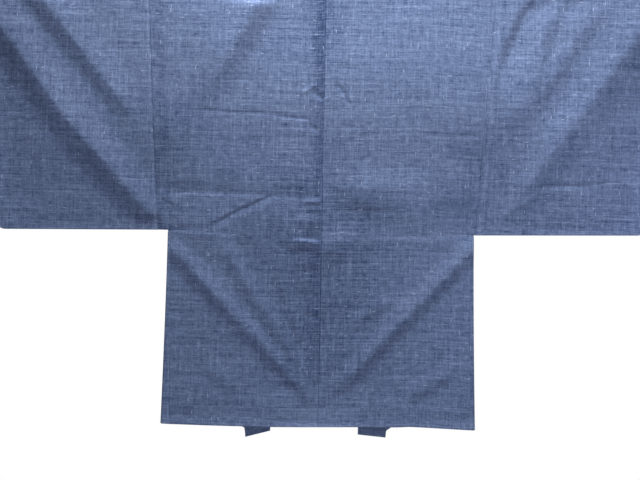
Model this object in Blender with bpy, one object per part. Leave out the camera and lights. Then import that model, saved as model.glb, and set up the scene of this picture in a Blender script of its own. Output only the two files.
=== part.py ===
"""Haori hung flat on a straight bar. Metres, +Z up, origin inside the top of the hook.

The back faces -Y and the open fronts face +Y. Left and right are as seen from behind.
Heights are measured up from the hem, and "out" means away from the centre back seam.
"""
import math
from collections import namedtuple

import bpy
from mathutils import Vector

for old in list(bpy.data.objects):
    bpy.data.objects.remove(old, do_unlink=True)

# Cloth
WALL = 0.0015           # thickness of every cloth wall
GAP = 0.0003            # between two pieces sewn edge to edge
SLIT = 0.00105          # half depth where the two walls of a sleeve are sewn together
LENGTH = 0.880          # top of the shoulder to the back hem

# Bar and hook
WRAP = 0.0121           # radius of the middle of the cloth where it turns over the bar
BAR_RADIUS = 0.0109
BAR_HALF = 0.605
BAR_SIDES = 32
BAR_ROUNDING = 0.004
HOOK_RISE = 0.135       # bar centre up to the inside of the hook
WIRE_RADIUS = 0.0025
HOOK_RADIUS = 0.020     # middle of the wire, both bends
SOCKET_DEPTH = 0.012    # how far the wire is let into the bar
HOOK_TIP_ANGLE = 205    # degrees, where the bend starts at the free tip
HOOK_MEETING_ANGLE = 60     # degrees below level, where it meets the bend back to the stem
HOOK_STEPS = 20
NECK_STEPS = 5          # along the bend back to the stem
SOCKET_SIDES = 16

BAR_H = LENGTH - WALL / 2 - WRAP
HEM_Z = -HOOK_RISE - BAR_H

# Neck and collar
NECK_HALF = 0.090       # half the neck cut across the shoulder line
NECK_RISE = 0.028       # the back neck seam stands this far above the bar's centre
NECK_EASE = 0.060       # stretch of shoulder in which the cloth climbs to the neck
SEAM_H = BAR_H + NECK_RISE
TURN = math.pi * WRAP / math.sqrt(2)    # sideways shift of the collar in its turn to the front
BAND_NECK = 0.052       # folded width of the collar at the neck
BAND_SPACE = 0.0036     # between the middles of the collar's two layers
BAND_LAP = 0.004        # how far the outer layer reaches past the seam
TURN_GAP = 0.0013       # the wider seam gap where the collar turns over the shoulder

# Sleeves and gussets
SLEEVE_OUT_LOW = 0.654
SLEEVE_OUT_TOP = 0.662
CORNER = 0.020          # rounded lower corner of a sleeve
CUFF_LOW = 0.625        # the cuff opening runs from here up to the shoulder
CUFF_EASE = 0.200
CUFF_CLOSE = 0.120      # stretch in which the walls close on the outer edge
CUFF_OPEN = 0.60        # share of the depth left at the open cuff
FREE_FROM = 0.612       # beyond this the bar no longer holds the sleeve out
END_DROOP = 0.005       # the sleeve sinks this far there
SEAM_CLOSE = 0.240      # stretch in which the walls close on the bottom seam
PINCH_REACH = 0.110     # how far into the body that closing is felt
GUSSET_TOP = 0.005      # inset of the gusset's seams at the underarm
GUSSET_FRONT = 0.030    # inset of its front seam at the hem
DEPTH_HEM = 0.015       # half depth of the body at the hem
EDGE_HEM = 0.009        # half depth at the side edges of the hem
UNDERARM_EASE = 0.080

Side = namedtuple("Side", (
    "name", "sign",
    "shoulder_x", "underarm_x",         # sleeve seam at its top and bottom
    "underarm_h", "cuff_h",             # sleeve bottom at the seam and at the outer edge
    "side_top_x", "side_hem_x",         # side edge of the lower body
    "gusset_back",                      # inset of the gusset's back seam at the hem
    "collar_x", "band",                 # collar seam and folded width at the hem
    "tip_seam_h", "tip_fold_h"))        # bottom of the collar at its seam and at its fold

LEFT = Side("left", -1, 0.3545, 0.3285, 0.3885, 0.3838, 0.3082, 0.3155,
            0.018, 0.145, 0.050, -0.0256, -0.0122)
RIGHT = Side("right", 1, 0.3420, 0.3080, 0.3895, 0.3960, 0.3072, 0.3170,
             0.012, 0.138, 0.056, -0.0214, -0.0164)

# Hems as (x, height): the fronts dip beside the collar, and the back hem waves a little
BACK_HEM = ((-0.316, 0.0), (-0.093, -0.0020), (0.081, 0.0014), (0.158, 0.0024),
            (0.185, 0.0040), (0.214, 0.0032), (0.317, -0.0015))
FRONT_HEM = ((-0.316, 0.0010), (-0.185, 0.0010), (-0.158, -0.0012), (-0.145, -0.0078),
             (0.138, -0.0080), (0.148, -0.0008), (0.159, 0.0024), (0.185, 0.0040),
             (0.317, -0.0010))

# Folds as (x and height of one end, of the other end, flank above, flank below, rise,
# share of the length in which each end fades)
BACK_FOLDS = (
    (-0.316, 0.371, 0.012, 0.031, 0.031, 0.030, 0.0043, 0.10, 0.20),
    (-0.210, 0.378, 0.004, 0.059, 0.034, 0.028, 0.0026, 0.10, 0.20),
    (0.325, 0.385, 0.010, 0.047, 0.035, 0.029, 0.0050, 0.10, 0.20),
    (-0.720, 0.885, -0.480, 0.555, 0.064, 0.056, 0.0080, 0.12, 0.46),
    (-0.590, 0.696, -0.300, 0.367, 0.064, 0.056, 0.0086, 0.38, 0.26),
    (-0.695, 0.999, -0.377, 0.600, 0.075, 0.042, 0.0060, 0.20, 0.14),
    (0.730, 0.939, 0.345, 0.391, 0.058, 0.064, 0.0052, 0.32, 0.16),
    (0.570, 0.883, 0.400, 0.619, 0.034, 0.030, 0.0024, 0.20, 0.20),
    (0.496, 0.868, 0.368, 0.586, 0.060, 0.060, 0.0032, 0.20, 0.20),
    (-0.104, 0.950, -0.282, 0.610, 0.090, 0.046, 0.0088, 0.20, 0.40),
    (0.010, 0.478, 0.316, 0.476, 0.080, 0.056, 0.0030, 0.12, 0.20),
    (-0.420, 0.640, 0.420, 0.660, 0.210, 0.170, 0.0042, 0.10, 0.10),
    (-0.330, 0.485, 0.330, 0.485, 0.200, 0.200, 0.0030, 0.30, 0.30))
FRONT_FOLDS = (
    (-0.310, 0.378, -0.150, 0.114, 0.038, 0.034, 0.0028, 0.20, 0.20),
    (0.316, 0.376, 0.144, 0.088, 0.038, 0.034, 0.0030, 0.20, 0.20),
    (-0.722, 0.934, -0.316, 0.386, 0.060, 0.070, 0.0060, 0.12, 0.10),
    (0.724, 0.914, 0.326, 0.408, 0.060, 0.070, 0.0056, 0.12, 0.10),
    (-0.560, 0.868, -0.392, 0.654, 0.050, 0.036, 0.0032, 0.20, 0.15),
    (0.532, 0.865, 0.384, 0.634, 0.046, 0.036, 0.0030, 0.20, 0.15),
    (0.142, 0.470, 0.312, 0.472, 0.046, 0.034, 0.0016, 0.20, 0.20))
FOLD_TAIL = 2.6         # the flank above runs on this many times as far, more gently
TAIL_SHARE = 0.20
FOLD_NARROW = 0.30      # how much narrower and lower a fold grows towards its second end
FOLD_FADE_TOP = 0.030   # folds die out below the bar
FOLD_ROOM = 0.0006      # half depth beyond the slit at which folds stand at full height

# Grid
LOW_ROWS = 15           # hem to underarm
HIGH_ROWS = 19          # underarm to bar
WRAP_STEPS = 8
FRONT_COLUMNS = 10      # side to neck
EDGE_COLUMN = 0.026     # width of the first column at the shoulder
NECK_COLUMNS = 4        # neck corner to centre seam
SLEEVE_COLUMNS = 12
SLEEVE_ROWS = 18
ROW_CROWDING = 1.22     # above 1, rows crowd towards a sleeve's bottom seam
CORNER_STEPS = 3
LEG_STEPS = 3           # across each layer of the collar
BEND_STEPS = 3          # round its fold
COLLAR_BACK_STEPS = 3
COLLAR_FRONT_STEPS = 27
COLLAR_EASE_STEPS = 3   # rows in which the outer layer reaches over the seam again
GUSSET_ROWS = 14
GUSSET_BEND_STEPS = 6


def mix(a, b, t):
    return a + (b - a) * t


def smooth(t):
    t = min(max(t, 0.0), 1.0)
    return t * t * (3 - 2 * t)


def along(table, x):
    """Height at x in a short table of (x, height) rows."""
    if x <= table[0][0]:
        return table[0][1]
    for (x1, h1), (x2, h2) in zip(table, table[1:]):
        if x <= x2:
            return mix(h1, h2, (x - x1) / (x2 - x1))
    return table[-1][1]


def side_of(x):
    return LEFT if x < 0 else RIGHT


def armhole_x(side, h):
    """Sleeve seam, a straight line from the underarm to the shoulder."""
    return mix(side.underarm_x, side.shoulder_x, (h - side.underarm_h) / (BAR_H - side.underarm_h))


def side_x(side, h):
    """Outermost edge of the lower body, which flares towards the hem."""
    flare = (1 - min(max(h / side.underarm_h, 0.0), 1.0)) ** 1.4
    return mix(side.side_top_x, side.side_hem_x, flare)


def sleeve_out_x(side, h):
    return mix(SLEEVE_OUT_LOW, SLEEVE_OUT_TOP, (h - side.cuff_h) / (BAR_H - side.cuff_h))


def sleeve_low_h(side, out):
    """Bottom of the sleeve at a distance out, with its rounded outer corner."""
    share = (out - side.underarm_x) / (SLEEVE_OUT_LOW - side.underarm_x)
    low = mix(side.underarm_h, side.cuff_h, share)
    past = min(max(out - (SLEEVE_OUT_LOW - CORNER), 0.0), CORNER)
    return low + CORNER - math.sqrt(CORNER ** 2 - past ** 2)


def full_depth(h):
    """Half the space between back and front where nothing draws them together."""
    return mix(DEPTH_HEM, WRAP, min(max(h / BAR_H, 0.0), 1.0))


def sleeve_depth(side, out, h):
    low = sleeve_low_h(side, out)
    lift = smooth((h - low) / SEAM_CLOSE)
    inward = sleeve_out_x(side, h) - out
    closed = smooth(inward / CUFF_CLOSE)
    opened = mix(CUFF_OPEN, 1.0, smooth(inward / (SLEEVE_OUT_TOP - FREE_FROM)))
    cuff = mix(closed, opened, smooth((h - CUFF_LOW) / CUFF_EASE))
    return mix(SLIT, full_depth(h), lift * cuff)


def body_depth(side, out, h):
    if h >= side.underarm_h:
        edge = armhole_x(side, h)
        at_edge = mix(SLIT, full_depth(h), smooth((h - side.underarm_h) / SEAM_CLOSE))
    else:
        below = side.underarm_h - h
        edge = mix(side.underarm_x, side_x(side, h), smooth(below / UNDERARM_EASE))
        at_edge = mix(SLIT, EDGE_HEM, (below / side.underarm_h) ** 0.8)
    return mix(at_edge, full_depth(h), smooth((edge - out) / PINCH_REACH))


def depth(x, h):
    """Half the space between the middles of the back and front walls."""
    side = side_of(x)
    out = abs(x)
    if h >= side.underarm_h - CORNER and out > armhole_x(side, h):
        return sleeve_depth(side, out, h)
    return body_depth(side, out, h)


def hump(off, flank):
    """1 on the line and 0 at the foot of its flank."""
    return (math.cos(math.pi * min(abs(off) / flank, 1.0)) + 1) / 2


def fold_rise(x, h, folds):
    """How far the folds lift the cloth outward at one place."""
    total = 0.0
    for x1, h1, x2, h2, above, below, rise, fade_in, fade_out in folds:
        run = math.hypot(x2 - x1, h2 - h1)
        share = ((x - x1) * (x2 - x1) + (h - h1) * (h2 - h1)) / run ** 2
        if not 0 < share < 1:
            continue
        off = ((x2 - x1) * (h - h1) - (h2 - h1) * (x - x1)) / run
        if x2 < x1:
            off = -off
        size = 1 + FOLD_NARROW * (0.4 - share)
        if off > 0:
            shape = mix(hump(off, size * above), hump(off, FOLD_TAIL * size * above), TAIL_SHARE)
        else:
            shape = hump(off, size * below)
        total += rise * size * shape * smooth(share / fade_in) * smooth((1 - share) / fade_out)
    return total


def wall_y(x, h, face):
    """Middle of the cloth: face is -1 for the back wall and +1 for the front wall."""
    half = depth(x, h)
    loose = smooth((half - SLIT) / FOLD_ROOM) * smooth((BAR_H - h) / FOLD_FADE_TOP)
    folds = BACK_FOLDS if face < 0 else FRONT_FOLDS
    return face * (half + loose * fold_rise(x, h, folds))


def place(x, y, h):
    return Vector((x, y, HEM_Z + h))


def cloth(name, rows, ring=False):
    """Sheet through rows of points, thickened to the wall. Cells with a missing corner are left out."""
    verts = []
    number = {}
    for r, row in enumerate(rows):
        for c, point in enumerate(row):
            if point is not None:
                number[r, c] = len(verts)
                verts.append(point)
    faces = []
    last = len(rows) if ring else len(rows) - 1
    for r in range(last):
        for c in range(len(rows[r]) - 1):
            below = (r + 1) % len(rows)
            corners = ((r, c), (r, c + 1), (below, c + 1), (below, c))
            if all(corner in number for corner in corners):
                faces.append([number[corner] for corner in corners])
    mesh = bpy.data.meshes.new(name)
    mesh.from_pydata(verts, [], faces)
    mesh.update()
    piece = bpy.data.objects.new(name, mesh)
    bpy.context.scene.collection.objects.link(piece)
    solid = piece.modifiers.new("wall", "SOLIDIFY")
    solid.thickness = WALL
    solid.offset = 0.0
    solid.use_even_offset = False
    for polygon in mesh.polygons:
        polygon.use_smooth = True
    return piece


def finish(piece, color, roughness, metallic=0.0):
    material = bpy.data.materials.new(piece.name)
    material.use_nodes = True
    shader = material.node_tree.nodes["Principled BSDF"]
    shader.inputs["Base Color"].default_value = (*color, 1.0)
    shader.inputs["Roughness"].default_value = roughness
    shader.inputs["Metallic"].default_value = metallic
    piece.data.materials.append(material)


def shoulder_point(side, column, t):
    """Point on the way over the shoulder, t from 0 at the back to pi at the front.

    Away from the neck the cloth turns over the bar. At the neck corner, where the climb is
    complete, it follows the slanting turn of the collar's seam.
    """
    back_x = body_column_x(side, column, BAR_H, -1)
    front_x = body_column_x(side, column, BAR_H, 1)
    climb = neck_climb(back_x)
    lean = WRAP / math.sqrt(2)
    seam_out = NECK_HALF + lean * (t + math.sin(t))
    seam_h = NECK_RISE + lean * (math.sin(t) - t)
    out = mix(mix(back_x, front_x, smooth(t / math.pi)), seam_out, climb)
    h = BAR_H + mix(WRAP * math.sin(t), seam_h, climb)
    return place(side.sign * out, -WRAP * math.cos(t), h)


def body_column_x(side, column, h, face):
    """Distance out of a column: 0 at the sleeve seam, then evenly to the neck or centre seam."""
    if h >= side.underarm_h:
        share = (h - side.underarm_h) / (BAR_H - side.underarm_h)
        edge = mix(side.side_top_x - GUSSET_TOP, side.shoulder_x - EDGE_COLUMN, share)
    else:
        inset = side.gusset_back if face < 0 else GUSSET_FRONT
        edge = side_x(side, h) - mix(inset, GUSSET_TOP, h / side.underarm_h)
    if column == 0:
        return armhole_x(side, h) - GAP / 2
    share = (column - 1) / (FRONT_COLUMNS - 1)
    if face > 0:
        return mix(edge, collar_seam_x(side, h), share)
    if column <= FRONT_COLUMNS:
        return mix(edge, NECK_HALF, share)
    return mix(NECK_HALF, GAP / 2, (column - FRONT_COLUMNS) / NECK_COLUMNS)


def collar_seam_x(side, h):
    return mix(side.collar_x, NECK_HALF + TURN, min(h / BAR_H, 1.0))


def neck_climb(out):
    return smooth((NECK_HALF + NECK_EASE - out) / NECK_EASE)


def body(side):
    """One cloth from the back hem, over the shoulder, to the front hem."""
    columns = FRONT_COLUMNS + NECK_COLUMNS + 1
    levels = [level / LOW_ROWS for level in range(LOW_ROWS)]
    levels += [1 + level / HIGH_ROWS for level in range(HIGH_ROWS + 1)]
    rows = []
    for level in levels:
        rows.append([body_wall_point(side, column, level, -1) for column in range(columns)])
    for step in range(1, WRAP_STEPS):
        t = math.pi * step / WRAP_STEPS
        rows.append([shoulder_point(side, column, t) for column in range(FRONT_COLUMNS + 1)])
    for level in reversed(levels):
        rows.append([body_wall_point(side, column, level, 1)
                     for column in range(FRONT_COLUMNS + 1)])
    for row in rows:
        row += [None] * (columns - len(row))
    return cloth("body_" + side.name, rows)


def body_wall_point(side, column, level, face):
    """Point of the back or front wall. Level runs 0 at the hem, 1 at the underarm, 2 at the top."""
    if column == 0 and level < 1:
        return None
    if face > 0 and level == 2:
        return shoulder_point(side, column, math.pi)
    if level < 1:
        h = side.underarm_h * level
        out = body_column_x(side, column, h, face)
        hem = along(BACK_HEM if face < 0 else FRONT_HEM, side.sign * out)
        h = mix(hem, side.underarm_h, level)
    else:
        h = mix(side.underarm_h, BAR_H, level - 1)
        out = body_column_x(side, column, h, face)
        climb = neck_climb(body_column_x(side, column, BAR_H, -1))
        rise = NECK_RISE if face < 0 else NECK_RISE - TURN
        h = mix(side.underarm_h, BAR_H + climb * rise, level - 1)
    x = side.sign * out
    return place(x, wall_y(x, min(h, BAR_H), face), h)


def sleeve(side):
    """Tube over the bar, sewn along its bottom and along the outer edge below the cuff."""
    straight = SLEEVE_OUT_LOW - CORNER - side.underarm_x
    outs = [side.underarm_x + straight * c / SLEEVE_COLUMNS for c in range(SLEEVE_COLUMNS + 1)]
    for step in range(1, CORNER_STEPS + 1):
        outs.append(SLEEVE_OUT_LOW - CORNER + CORNER * math.sin(math.pi / 2 * step / CORNER_STEPS))
    shares = [(out - side.underarm_x) / (SLEEVE_OUT_LOW - side.underarm_x) for out in outs]
    levels = [(level / SLEEVE_ROWS) ** ROW_CROWDING for level in range(SLEEVE_ROWS + 1)]
    rows = []
    for face, order in ((-1, levels), (1, levels[::-1])):
        for level in order:
            rows.append([sleeve_wall_point(side, share, out, level, face)
                         for share, out in zip(shares, outs)])
        if face < 0:
            for step in range(1, WRAP_STEPS):
                rows.append([sleeve_top_point(side, share, math.pi * step / WRAP_STEPS)
                             for share in shares])
    rows.append([place(side.sign * max(out, outs[0] + GAP / 2), 0.0, sleeve_low_h(side, out))
                 for out in outs])
    return cloth("sleeve_" + side.name, rows, ring=True)


def sleeve_x(side, share, h):
    """Distance out at a share of the way from the sleeve seam to the outer edge."""
    return mix(armhole_x(side, h) + GAP / 2, sleeve_out_x(side, h), share)


def droop(side, share):
    """The sleeve sinks a little beyond the end of the bar."""
    out = sleeve_x(side, share, BAR_H)
    return END_DROOP * smooth((out - FREE_FROM) / (SLEEVE_OUT_TOP - FREE_FROM))


def sleeve_wall_point(side, share, low_out, level, face):
    h = mix(sleeve_low_h(side, low_out) + SLIT, BAR_H - droop(side, share), level)
    x = side.sign * sleeve_x(side, share, h)
    return place(x, wall_y(x, h, face), h)


def sleeve_top_point(side, share, t):
    out = sleeve_x(side, share, BAR_H)
    radius = sleeve_depth(side, out, BAR_H)
    h = BAR_H - droop(side, share) + radius * math.sin(t)
    return place(side.sign * out, -radius * math.cos(t), h)


def gusset(side):
    """Narrow wedge folded round the side edge, from the underarm to the hem."""
    rows = []
    for row_number in range(GUSSET_ROWS + 1):
        level = row_number / GUSSET_ROWS
        h = side.underarm_h * level
        edge = side_x(side, h)
        back_out = edge - mix(side.gusset_back, GUSSET_TOP, level) + GAP
        front_out = edge - mix(GUSSET_FRONT, GUSSET_TOP, level) + GAP
        back_y = wall_y(side.sign * back_out, h, -1)
        front_y = wall_y(side.sign * front_out, h, 1)
        bend = min(0.8 * (edge - back_out), -back_y)
        centre = edge - WALL / 2 - bend
        section = [(back_out, back_y)]
        for step in range(GUSSET_BEND_STEPS + 1):
            angle = math.pi * step / GUSSET_BEND_STEPS
            section.append((centre + bend * math.sin(angle),
                            mix(back_y, front_y, (1 - math.cos(angle)) / 2)))
        section.append((front_out, front_y))
        row = []
        for number, (out, y) in enumerate(section):
            x = side.sign * out
            hem = mix(along(BACK_HEM, x), along(FRONT_HEM, x), number / (len(section) - 1))
            row.append(place(x, y, mix(hem, side.underarm_h - 2 * GAP, level)))
        rows.append(row)
    return cloth("machi_" + side.name, rows)


def collar_section(band, turning):
    """Section of the folded collar as (distance from the seam, distance out of the cloth).

    Where the collar is turning over the shoulder its outer layer stops short of the seam.
    """
    start = mix(GAP, TURN_GAP, smooth(turning))
    lap = mix(-BAND_LAP, TURN_GAP, smooth(turning))
    bend = BAND_SPACE / 2
    fold = band - bend
    section = [(mix(start, fold, step / LEG_STEPS), 0.0) for step in range(LEG_STEPS)]
    for step in range(BEND_STEPS + 1):
        angle = math.pi * step / BEND_STEPS
        section.append((fold + bend * math.sin(angle), bend - bend * math.cos(angle)))
    section += [(mix(fold, lap, step / LEG_STEPS), BAND_SPACE) for step in range(1, LEG_STEPS + 1)]
    return section


def collar_turn_point(side, s, d, n):
    """Collar at the neck: s along its seam from the centre back, d from the seam, n outward.

    The strip stands up behind the neck, then turns over a slanting edge to hang down in front.
    """
    past = s - NECK_HALF
    lean = math.sqrt(2)
    t = (past + d) / lean / WRAP
    if t <= 0:
        return place(side.sign * s, -WRAP - n, SEAM_H + d)
    slide = (d - past) / lean
    reach = (WRAP + n) * math.sin(t)
    out = NECK_HALF + (reach - slide) / lean
    h = SEAM_H + (reach + slide) / lean
    return place(side.sign * out, -(WRAP + n) * math.cos(t), h)


def collar_front_point(side, share, d, n, band):
    """Collar in front: share runs 0 at the end of its turn to 1 at its slanting bottom."""
    bottom = mix(side.tip_seam_h, side.tip_fold_h, d / band)
    h = mix(SEAM_H - TURN + d, bottom, share)
    x = side.sign * (collar_seam_x(side, max(h, 0.0)) - d)
    return place(x, wall_y(x, min(h, BAR_H), 1) + n, h)


def collar_half(side):
    """Rows of the collar from the centre back to the front hem on one side.

    A row lies square across the strip at both ends and aslant, along the folding edge,
    where the strip turns over the shoulder.
    """
    rows = []
    for step in range(COLLAR_BACK_STEPS):
        share = step / COLLAR_BACK_STEPS
        section = collar_section(BAND_NECK, share)
        rows.append([collar_turn_point(side, share * (NECK_HALF - d), d, n) for d, n in section])
    for step in range(WRAP_STEPS):
        along_edge = NECK_HALF + 2 * TURN * step / WRAP_STEPS
        section = collar_section(BAND_NECK, 1.0)
        rows.append([collar_turn_point(side, along_edge - d, d, n) for d, n in section])
    for step in range(COLLAR_FRONT_STEPS + 1):
        share = step / COLLAR_FRONT_STEPS
        band = mix(BAND_NECK, side.band, share)
        section = collar_section(band, 1 - step / COLLAR_EASE_STEPS)
        rows.append([collar_front_point(side, share, d, n, band) for d, n in section])
    return rows


def collar():
    """One long strip folded outward, from the left front hem round the neck to the right."""
    left = collar_half(LEFT)
    right = collar_half(RIGHT)
    return cloth("collar", left[::-1] + right[1:])


def bar():
    """Round bar with eased ends and a socket for the hook."""
    bpy.ops.mesh.primitive_cylinder_add(vertices=BAR_SIDES, radius=BAR_RADIUS, depth=2 * BAR_HALF,
                                        location=(0, 0, -HOOK_RISE), rotation=(0, math.pi / 2, 0))
    piece = bpy.context.object
    piece.name = "hanger_bar"
    piece.data.name = "hanger_bar"
    piece.data.shade_smooth()
    piece.data.set_sharp_from_angle(angle=math.radians(40))
    ease = piece.modifiers.new("eased ends", "BEVEL")
    ease.width = BAR_ROUNDING
    ease.segments = 2
    ease.angle_limit = math.radians(60)
    bpy.ops.mesh.primitive_cylinder_add(vertices=SOCKET_SIDES, radius=WIRE_RADIUS + GAP,
                                        depth=2 * SOCKET_DEPTH,
                                        location=(0, 0, -HOOK_RISE + BAR_RADIUS))
    cutter = bpy.context.object
    cutter.name = "socket_cutter"
    cutter.hide_render = True
    cutter.display_type = "WIRE"
    socket = piece.modifiers.new("socket", "BOOLEAN")
    socket.object = cutter
    socket.operation = "DIFFERENCE"
    return piece


def hook():
    """Wire bent into a hook above a straight stem let into the bar."""
    top = WIRE_RADIUS - HOOK_RADIUS
    path = []
    for step in range(HOOK_STEPS + 1):
        angle = math.radians(mix(HOOK_TIP_ANGLE, -HOOK_MEETING_ANGLE, step / HOOK_STEPS))
        path.append((HOOK_RADIUS * math.cos(angle), 0.0, top + HOOK_RADIUS * math.sin(angle)))
    low = top - 2 * HOOK_RADIUS * math.sin(math.radians(HOOK_MEETING_ANGLE))
    for step in range(1, NECK_STEPS + 1):
        angle = math.radians(mix(180 - HOOK_MEETING_ANGLE, 180, step / NECK_STEPS))
        path.append((HOOK_RADIUS + HOOK_RADIUS * math.cos(angle), 0.0,
                     low + HOOK_RADIUS * math.sin(angle)))
    foot = -HOOK_RISE + BAR_RADIUS - SOCKET_DEPTH + GAP
    path.append((0.0, 0.0, mix(low, foot, 0.5)))
    path.append((0.0, 0.0, foot))
    curve = bpy.data.curves.new("hanger_hook", "CURVE")
    curve.dimensions = "3D"
    curve.bevel_depth = WIRE_RADIUS
    curve.bevel_resolution = 3
    curve.use_fill_caps = True
    spline = curve.splines.new("POLY")
    spline.points.add(len(path) - 1)
    for point, co in zip(spline.points, path):
        point.co = (*co, 1.0)
    piece = bpy.data.objects.new("hanger_hook", curve)
    bpy.context.scene.collection.objects.link(piece)
    return piece


INDIGO = (0.105, 0.140, 0.240)
for half in (LEFT, RIGHT):
    finish(body(half), INDIGO, 0.82)
    finish(sleeve(half), INDIGO, 0.82)
    finish(gusset(half), INDIGO, 0.82)
finish(collar(), INDIGO, 0.82)
finish(bar(), (0.62, 0.44, 0.27), 0.55)
finish(hook(), (0.60, 0.60, 0.60), 0.30, 1.0)
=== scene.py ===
# %% [markdown]
# # A haori hung flat on a straight bar
# A haori is a short Japanese jacket cut from one narrow bolt of cloth: two body lengths with no
# shoulder seam, two square sleeves, two side gussets and one long folded collar. This one is
# slubbed indigo pongee, seen from behind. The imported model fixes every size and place, so the
# lesson starts by loading it, and each cloth piece is then built as a thin shell on its solid.

# %% Load the fixed frame
import math
from collections import namedtuple

import bpy
import numpy as np
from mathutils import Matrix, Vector, noise


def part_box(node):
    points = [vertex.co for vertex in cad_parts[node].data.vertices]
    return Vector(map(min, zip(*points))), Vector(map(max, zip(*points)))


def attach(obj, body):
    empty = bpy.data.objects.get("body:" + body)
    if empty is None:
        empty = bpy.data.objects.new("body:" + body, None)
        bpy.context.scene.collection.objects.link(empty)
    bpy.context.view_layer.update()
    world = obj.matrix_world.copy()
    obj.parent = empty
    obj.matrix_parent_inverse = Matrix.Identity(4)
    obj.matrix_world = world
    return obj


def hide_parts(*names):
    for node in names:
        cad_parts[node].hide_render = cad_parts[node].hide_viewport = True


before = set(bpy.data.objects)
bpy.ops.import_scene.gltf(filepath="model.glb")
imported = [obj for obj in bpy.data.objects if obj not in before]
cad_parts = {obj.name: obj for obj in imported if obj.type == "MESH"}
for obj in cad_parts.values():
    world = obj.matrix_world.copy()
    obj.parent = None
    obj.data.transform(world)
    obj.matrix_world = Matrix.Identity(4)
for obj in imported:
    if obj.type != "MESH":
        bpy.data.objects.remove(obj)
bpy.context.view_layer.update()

BAR_LOW, BAR_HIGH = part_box("hanger_bar")
HOOK_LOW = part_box("hanger_hook")[0]
BAR_Z = (BAR_LOW.z + BAR_HIGH.z) / 2
print("nodes", sorted(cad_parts))

# %% [markdown]
# ## Driving sizes
# Everything is measured as a tailor would: heights go up from the back hem, and "out" is the
# distance from the centre back seam. The bar carries the shoulders, so the hem hangs one garment
# length below it. The cloth here is 0.6 mm thick, the middle of the solid's thicker wall.

# %% Sizes of cloth, bar, neck and sleeves
CLOTH = 0.0006
GAP = 0.0003            # between two pieces sewn edge to edge
SLIT = 0.00105          # half depth where two walls are sewn together
SEWN_EDGE = 0.00050     # half depth at the sewn outer edge of a sleeve
LENGTH = 0.880
WRAP = 0.0121           # middle of the cloth where it turns over the bar
CAD_WALL = 0.0015
BAR_H = LENGTH - CAD_WALL / 2 - WRAP
HEM_Z = BAR_Z - BAR_H

NECK_HALF = 0.090
NECK_RISE = 0.028
NECK_EASE = 0.060
SEAM_H = BAR_H + NECK_RISE
TURN = math.pi * WRAP / math.sqrt(2)
BAND_NECK = 0.052
BAND_SPACE = 0.0036
BAND_LAP = 0.004
TURN_GAP = 0.0013

SLEEVE_OUT_LOW = 0.654
SLEEVE_OUT_TOP = 0.662
CORNER = 0.020
CUFF_LOW = 0.625
CUFF_EASE = 0.200
CUFF_CLOSE = 0.120
CUFF_OPEN = 0.60
FREE_FROM = 0.612
END_DROOP = 0.005
SEAM_CLOSE = 0.240
PINCH_REACH = 0.110
GUSSET_TOP = 0.005
GUSSET_FRONT = 0.030
DEPTH_HEM = 0.015
EDGE_HEM = 0.009
UNDERARM_EASE = 0.080
EDGE_COLUMN = 0.026
print("hem at", round(HEM_Z, 4), "shoulder at", round(HEM_Z + LENGTH, 4))

# %% [markdown]
# ## The two sides
# Handwork is never quite symmetric. The left sleeve is sewn on 20 mm further out than the side
# edge below it, the right one almost flush, and the collar hangs a little differently on each
# side. One named row holds each side, so that every piece is made by the same function.

# %% Left and right
Side = namedtuple("Side", (
    "name", "sign", "shoulder_x", "underarm_x", "underarm_h", "cuff_h", "side_top_x",
    "side_hem_x", "gusset_back", "collar_x", "band", "tip_seam_h", "tip_fold_h"))
LEFT = Side("left", -1, 0.3545, 0.3285, 0.3885, 0.3838, 0.3082, 0.3155,
            0.018, 0.145, 0.050, -0.0256, -0.0122)
RIGHT = Side("right", 1, 0.3420, 0.3080, 0.3895, 0.3960, 0.3072, 0.3170,
             0.012, 0.138, 0.056, -0.0214, -0.0164)
BACK_HEM = ((-0.316, 0.0), (-0.093, -0.0020), (0.081, 0.0014), (0.158, 0.0024),
            (0.185, 0.0040), (0.214, 0.0032), (0.317, -0.0015))
FRONT_HEM = ((-0.316, 0.0010), (-0.185, 0.0010), (-0.158, -0.0012), (-0.145, -0.0078),
             (0.138, -0.0080), (0.148, -0.0008), (0.159, 0.0024), (0.185, 0.0040),
             (0.317, -0.0010))


def mix(a, b, t):
    return a + (b - a) * t


def smooth(t):
    t = np.clip(t, 0.0, 1.0)
    return t * t * (3 - 2 * t)


def along(table, x):
    xs, heights = zip(*table)
    return np.interp(x, xs, heights)


for side in (LEFT, RIGHT):
    print(side.name, "armhole", side.shoulder_x, "to", side.underarm_x, "collar", side.collar_x)

# %% [markdown]
# ## The camera
# The photograph looks square at the back from its own height and leans a little, so the camera
# is rolled by that lean. A long lens keeps the collar ends, which hang behind the back hem, at
# their right height. The camera is made first, so that each later piece can be judged through it.

# %% Camera
VIEW_WIDTH = 1.280          # metres across the picture at the garment
VIEW_X = -0.0020
VIEW_H = 0.374
VIEW_LEAN = math.radians(1.14)
VIEW_DISTANCE = 4.0
SENSOR = 36.0

camera_data = bpy.data.cameras.new("camera")
camera_data.sensor_width = SENSOR
camera_data.lens = SENSOR * VIEW_DISTANCE / VIEW_WIDTH
camera = bpy.data.objects.new("camera", camera_data)
bpy.context.scene.collection.objects.link(camera)
camera.location = (VIEW_X, -VIEW_DISTANCE - DEPTH_HEM, HEM_Z + VIEW_H)
camera.rotation_euler = (math.radians(90), -VIEW_LEAN, 0.0)
bpy.context.scene.camera = camera
print("lens", round(camera_data.lens, 1), "mm")

# %% [markdown]
# ## Outlines
# These functions give the edges of each panel at a height, as the solid's source does: a
# straight armhole, a side edge that flares, and a sleeve with a rounded lower corner. They work
# on whole arrays, so that one call shapes thousands of points.

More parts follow.
